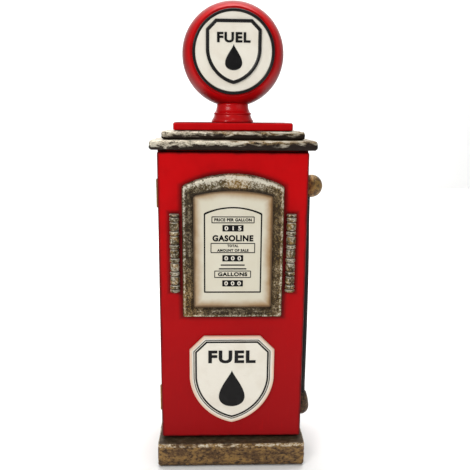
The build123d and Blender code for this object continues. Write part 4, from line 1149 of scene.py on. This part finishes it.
class PUMP_OT_spindles(PumpOperator):
    """Turn the two half-columns beside the dial."""

    bl_idname = "pump.spindles"
    bl_label = "Spindles"

    cap, bead, barrel = (3.0, 5.5), (4.4, 5.5), (9.0, 5.35)
    groove_h, groove_r, lip_r, barrels = 0.75, 4.0, 4.5, 5
    axis_out, dent_size, grain = 0.002, 0.0035, 0.00015  # the axis stands that far off the door

    def execute(self, context):
        for seed, name in enumerate(("left_spindle", "right_spindle")):
            low, high = corners(name)
            mesh = self.turn(name, low, high)
            weather(
                mesh, self.sizes.hammer_depth * 0.6, self.dent_size, 11 + seed,
                lambda point: point.y > high.y - TOUCH / 2, self.grain,
            )
            mid_x, axis_y = (low.x + high.x) / 2, high.y - self.axis_out

            def gold(paint):
                return paint.rise(paint.cloud(0.006, detail=2.0), 0.46, 0.6)

            # painted shade in the grooves between the rings
            def hollow(paint):
                out = ((paint.x - mid_x) ** 2.0 + (paint.y - axis_y) ** 2.0) ** 0.5
                return paint.rise(out, 0.0050, 0.0042) * 1.6

            # painted highlight on the upward faces of the rings
            def bright(paint):
                return paint.rise(paint.facing["Z"], 0.1, 0.8) * 0.8 + 0.45

            finish = speckled_leaf("leaf_" + name, self.colours, bright, gold, hollow, speckle=0.0024)
            place(name + "_turning", mesh, finish, "door", [name])
        return {"FINISHED"}

    def turn(self, name, low, high):
        """The column's rings, flat where they meet the door."""
        turnings = [self.cap, self.bead] + [self.barrel, self.bead] * self.barrels + [self.cap]
        profile = [(0.6, 0.0)]
        z = 0.0
        for index, (height, peak) in enumerate(turnings):
            steps = 10 if height > 5 else 7
            for i in range(steps + 1):
                swell = max(sin(pi * i / steps), 0.0) ** 0.35
                profile.append((self.lip_r + (peak - self.lip_r) * swell, z + height * i / steps))
            z += height
            if index < len(turnings) - 1:
                profile += [(self.groove_r, z + 0.1), (self.groove_r, z + self.groove_h - 0.1)]
                z += self.groove_h
        profile.append((0.6, z))
        mid_x, axis_y = (low.x + high.x) / 2, high.y - self.axis_out
        scale = (high.z - low.z) / (z * MM)
        around = 48
        rings = []
        for radius, height in profile:
            ring = []
            for i in range(around):
                turn = 2 * pi * i / around
                y = axis_y - radius * MM * cos(turn)
                ring.append((
                    mid_x + radius * MM * sin(turn), min(y, high.y), low.z + height * MM * scale
                ))
            rings.append(ring)
        return skin_rings(name + "_turning", rings)


class PUMP_OT_door_badge(PumpOperator):
    """Build the shield on the door, with its lines, word and drop."""

    bl_idname = "pump.door_badge"
    bl_label = "Door badge"

    sunk = 0.0008  # from the rim down to the face
    lines = ((0.0044, 0.0009), (0.0062, 0.0019))  # inset and width

    def execute(self, context):
        paint, sizes = self.colours, self.sizes
        shield = Shield("door_badge", "door")
        proud, face = shield.proud, shield.proud - self.sunk
        rim = worn_enamel("badge_rim", paint.peach, paint.white_shade, rough=0.36, size=0.015)
        white = worn_enamel("badge_white", paint.white, paint.white_shade, rough=0.36)
        ink = worn_enamel(
            "badge_ink", paint.black, paint.black_worn, rough=0.34, size=0.012, gloss=0.0, glow=0.2
        )
        shield.plate("door_shield", [
            (0, 0), (0, proud * 0.6), (0.0002, proud * 0.8), (0.0006, proud * 0.94), (0.0012, proud),
            (0.0019, proud), (0.0026, proud * 0.97), (0.0033, face), (0.0040, face),
        ], 16, [rim, white], first_white=6)
        for number, (inset, wide) in enumerate(self.lines):
            name = f"badge_line_{number}"
            mesh = printed_line(
                name, shield.outline(inset), shield.outline(inset + wide), shield.face_y,
                sizes.print_height * 2,
            )
            place(name, mesh, ink, "door")
        relief = sizes.letter_height * 0.6
        shield.word("badge_word", ink, 0.765, 0.56, 0.145, relief)
        shield.drop("badge_drop", ink, 0.40, 0.42, relief, shoulder=2 / 3)
        return {"FINISHED"}


class PUMP_PT_panel(bpy.types.Panel):
    """Lists the pump's operators, sizes and colours."""

    bl_idname = "PUMP_PT_panel"
    bl_label = "Gas Pump"
    bl_space_type = "VIEW_3D"
    bl_region_type = "UI"
    bl_category = "Gas Pump"

    def draw(self, context):
        for operator in OPERATORS:
            self.layout.operator(operator.bl_idname)
        for group in (context.scene.pump_sizes, context.scene.pump_colours):
            box = self.layout.box()
            for name in group.__annotations__:
                box.prop(group, name)


OPERATORS = (
    PUMP_OT_stage, PUMP_OT_hose, PUMP_OT_boards, PUMP_OT_hardware, PUMP_OT_mouldings, PUMP_OT_globe,
    PUMP_OT_dial_frame, PUMP_OT_dial_card, PUMP_OT_spindles, PUMP_OT_door_badge,
)
CLASSES = (PumpSizes, PumpColours, *OPERATORS, PUMP_PT_panel)


def register():
    """Register the classes and hang the settings on the scene."""
    for each in CLASSES:
        bpy.utils.register_class(each)
    bpy.types.Scene.pump_sizes = PointerProperty(type=PumpSizes)
    bpy.types.Scene.pump_colours = PointerProperty(type=PumpColours)


def unregister():
    """Take the settings and classes away again."""
    del bpy.types.Scene.pump_colours
    del bpy.types.Scene.pump_sizes
    for each in reversed(CLASSES):
        bpy.utils.unregister_class(each)


def main():
    """Make every piece in order."""
    register()
    for operator in OPERATORS:
        group, name = operator.bl_idname.split(".")
        getattr(getattr(bpy.ops, group), name)()
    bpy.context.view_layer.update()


if __name__ == "__main__":
    main()
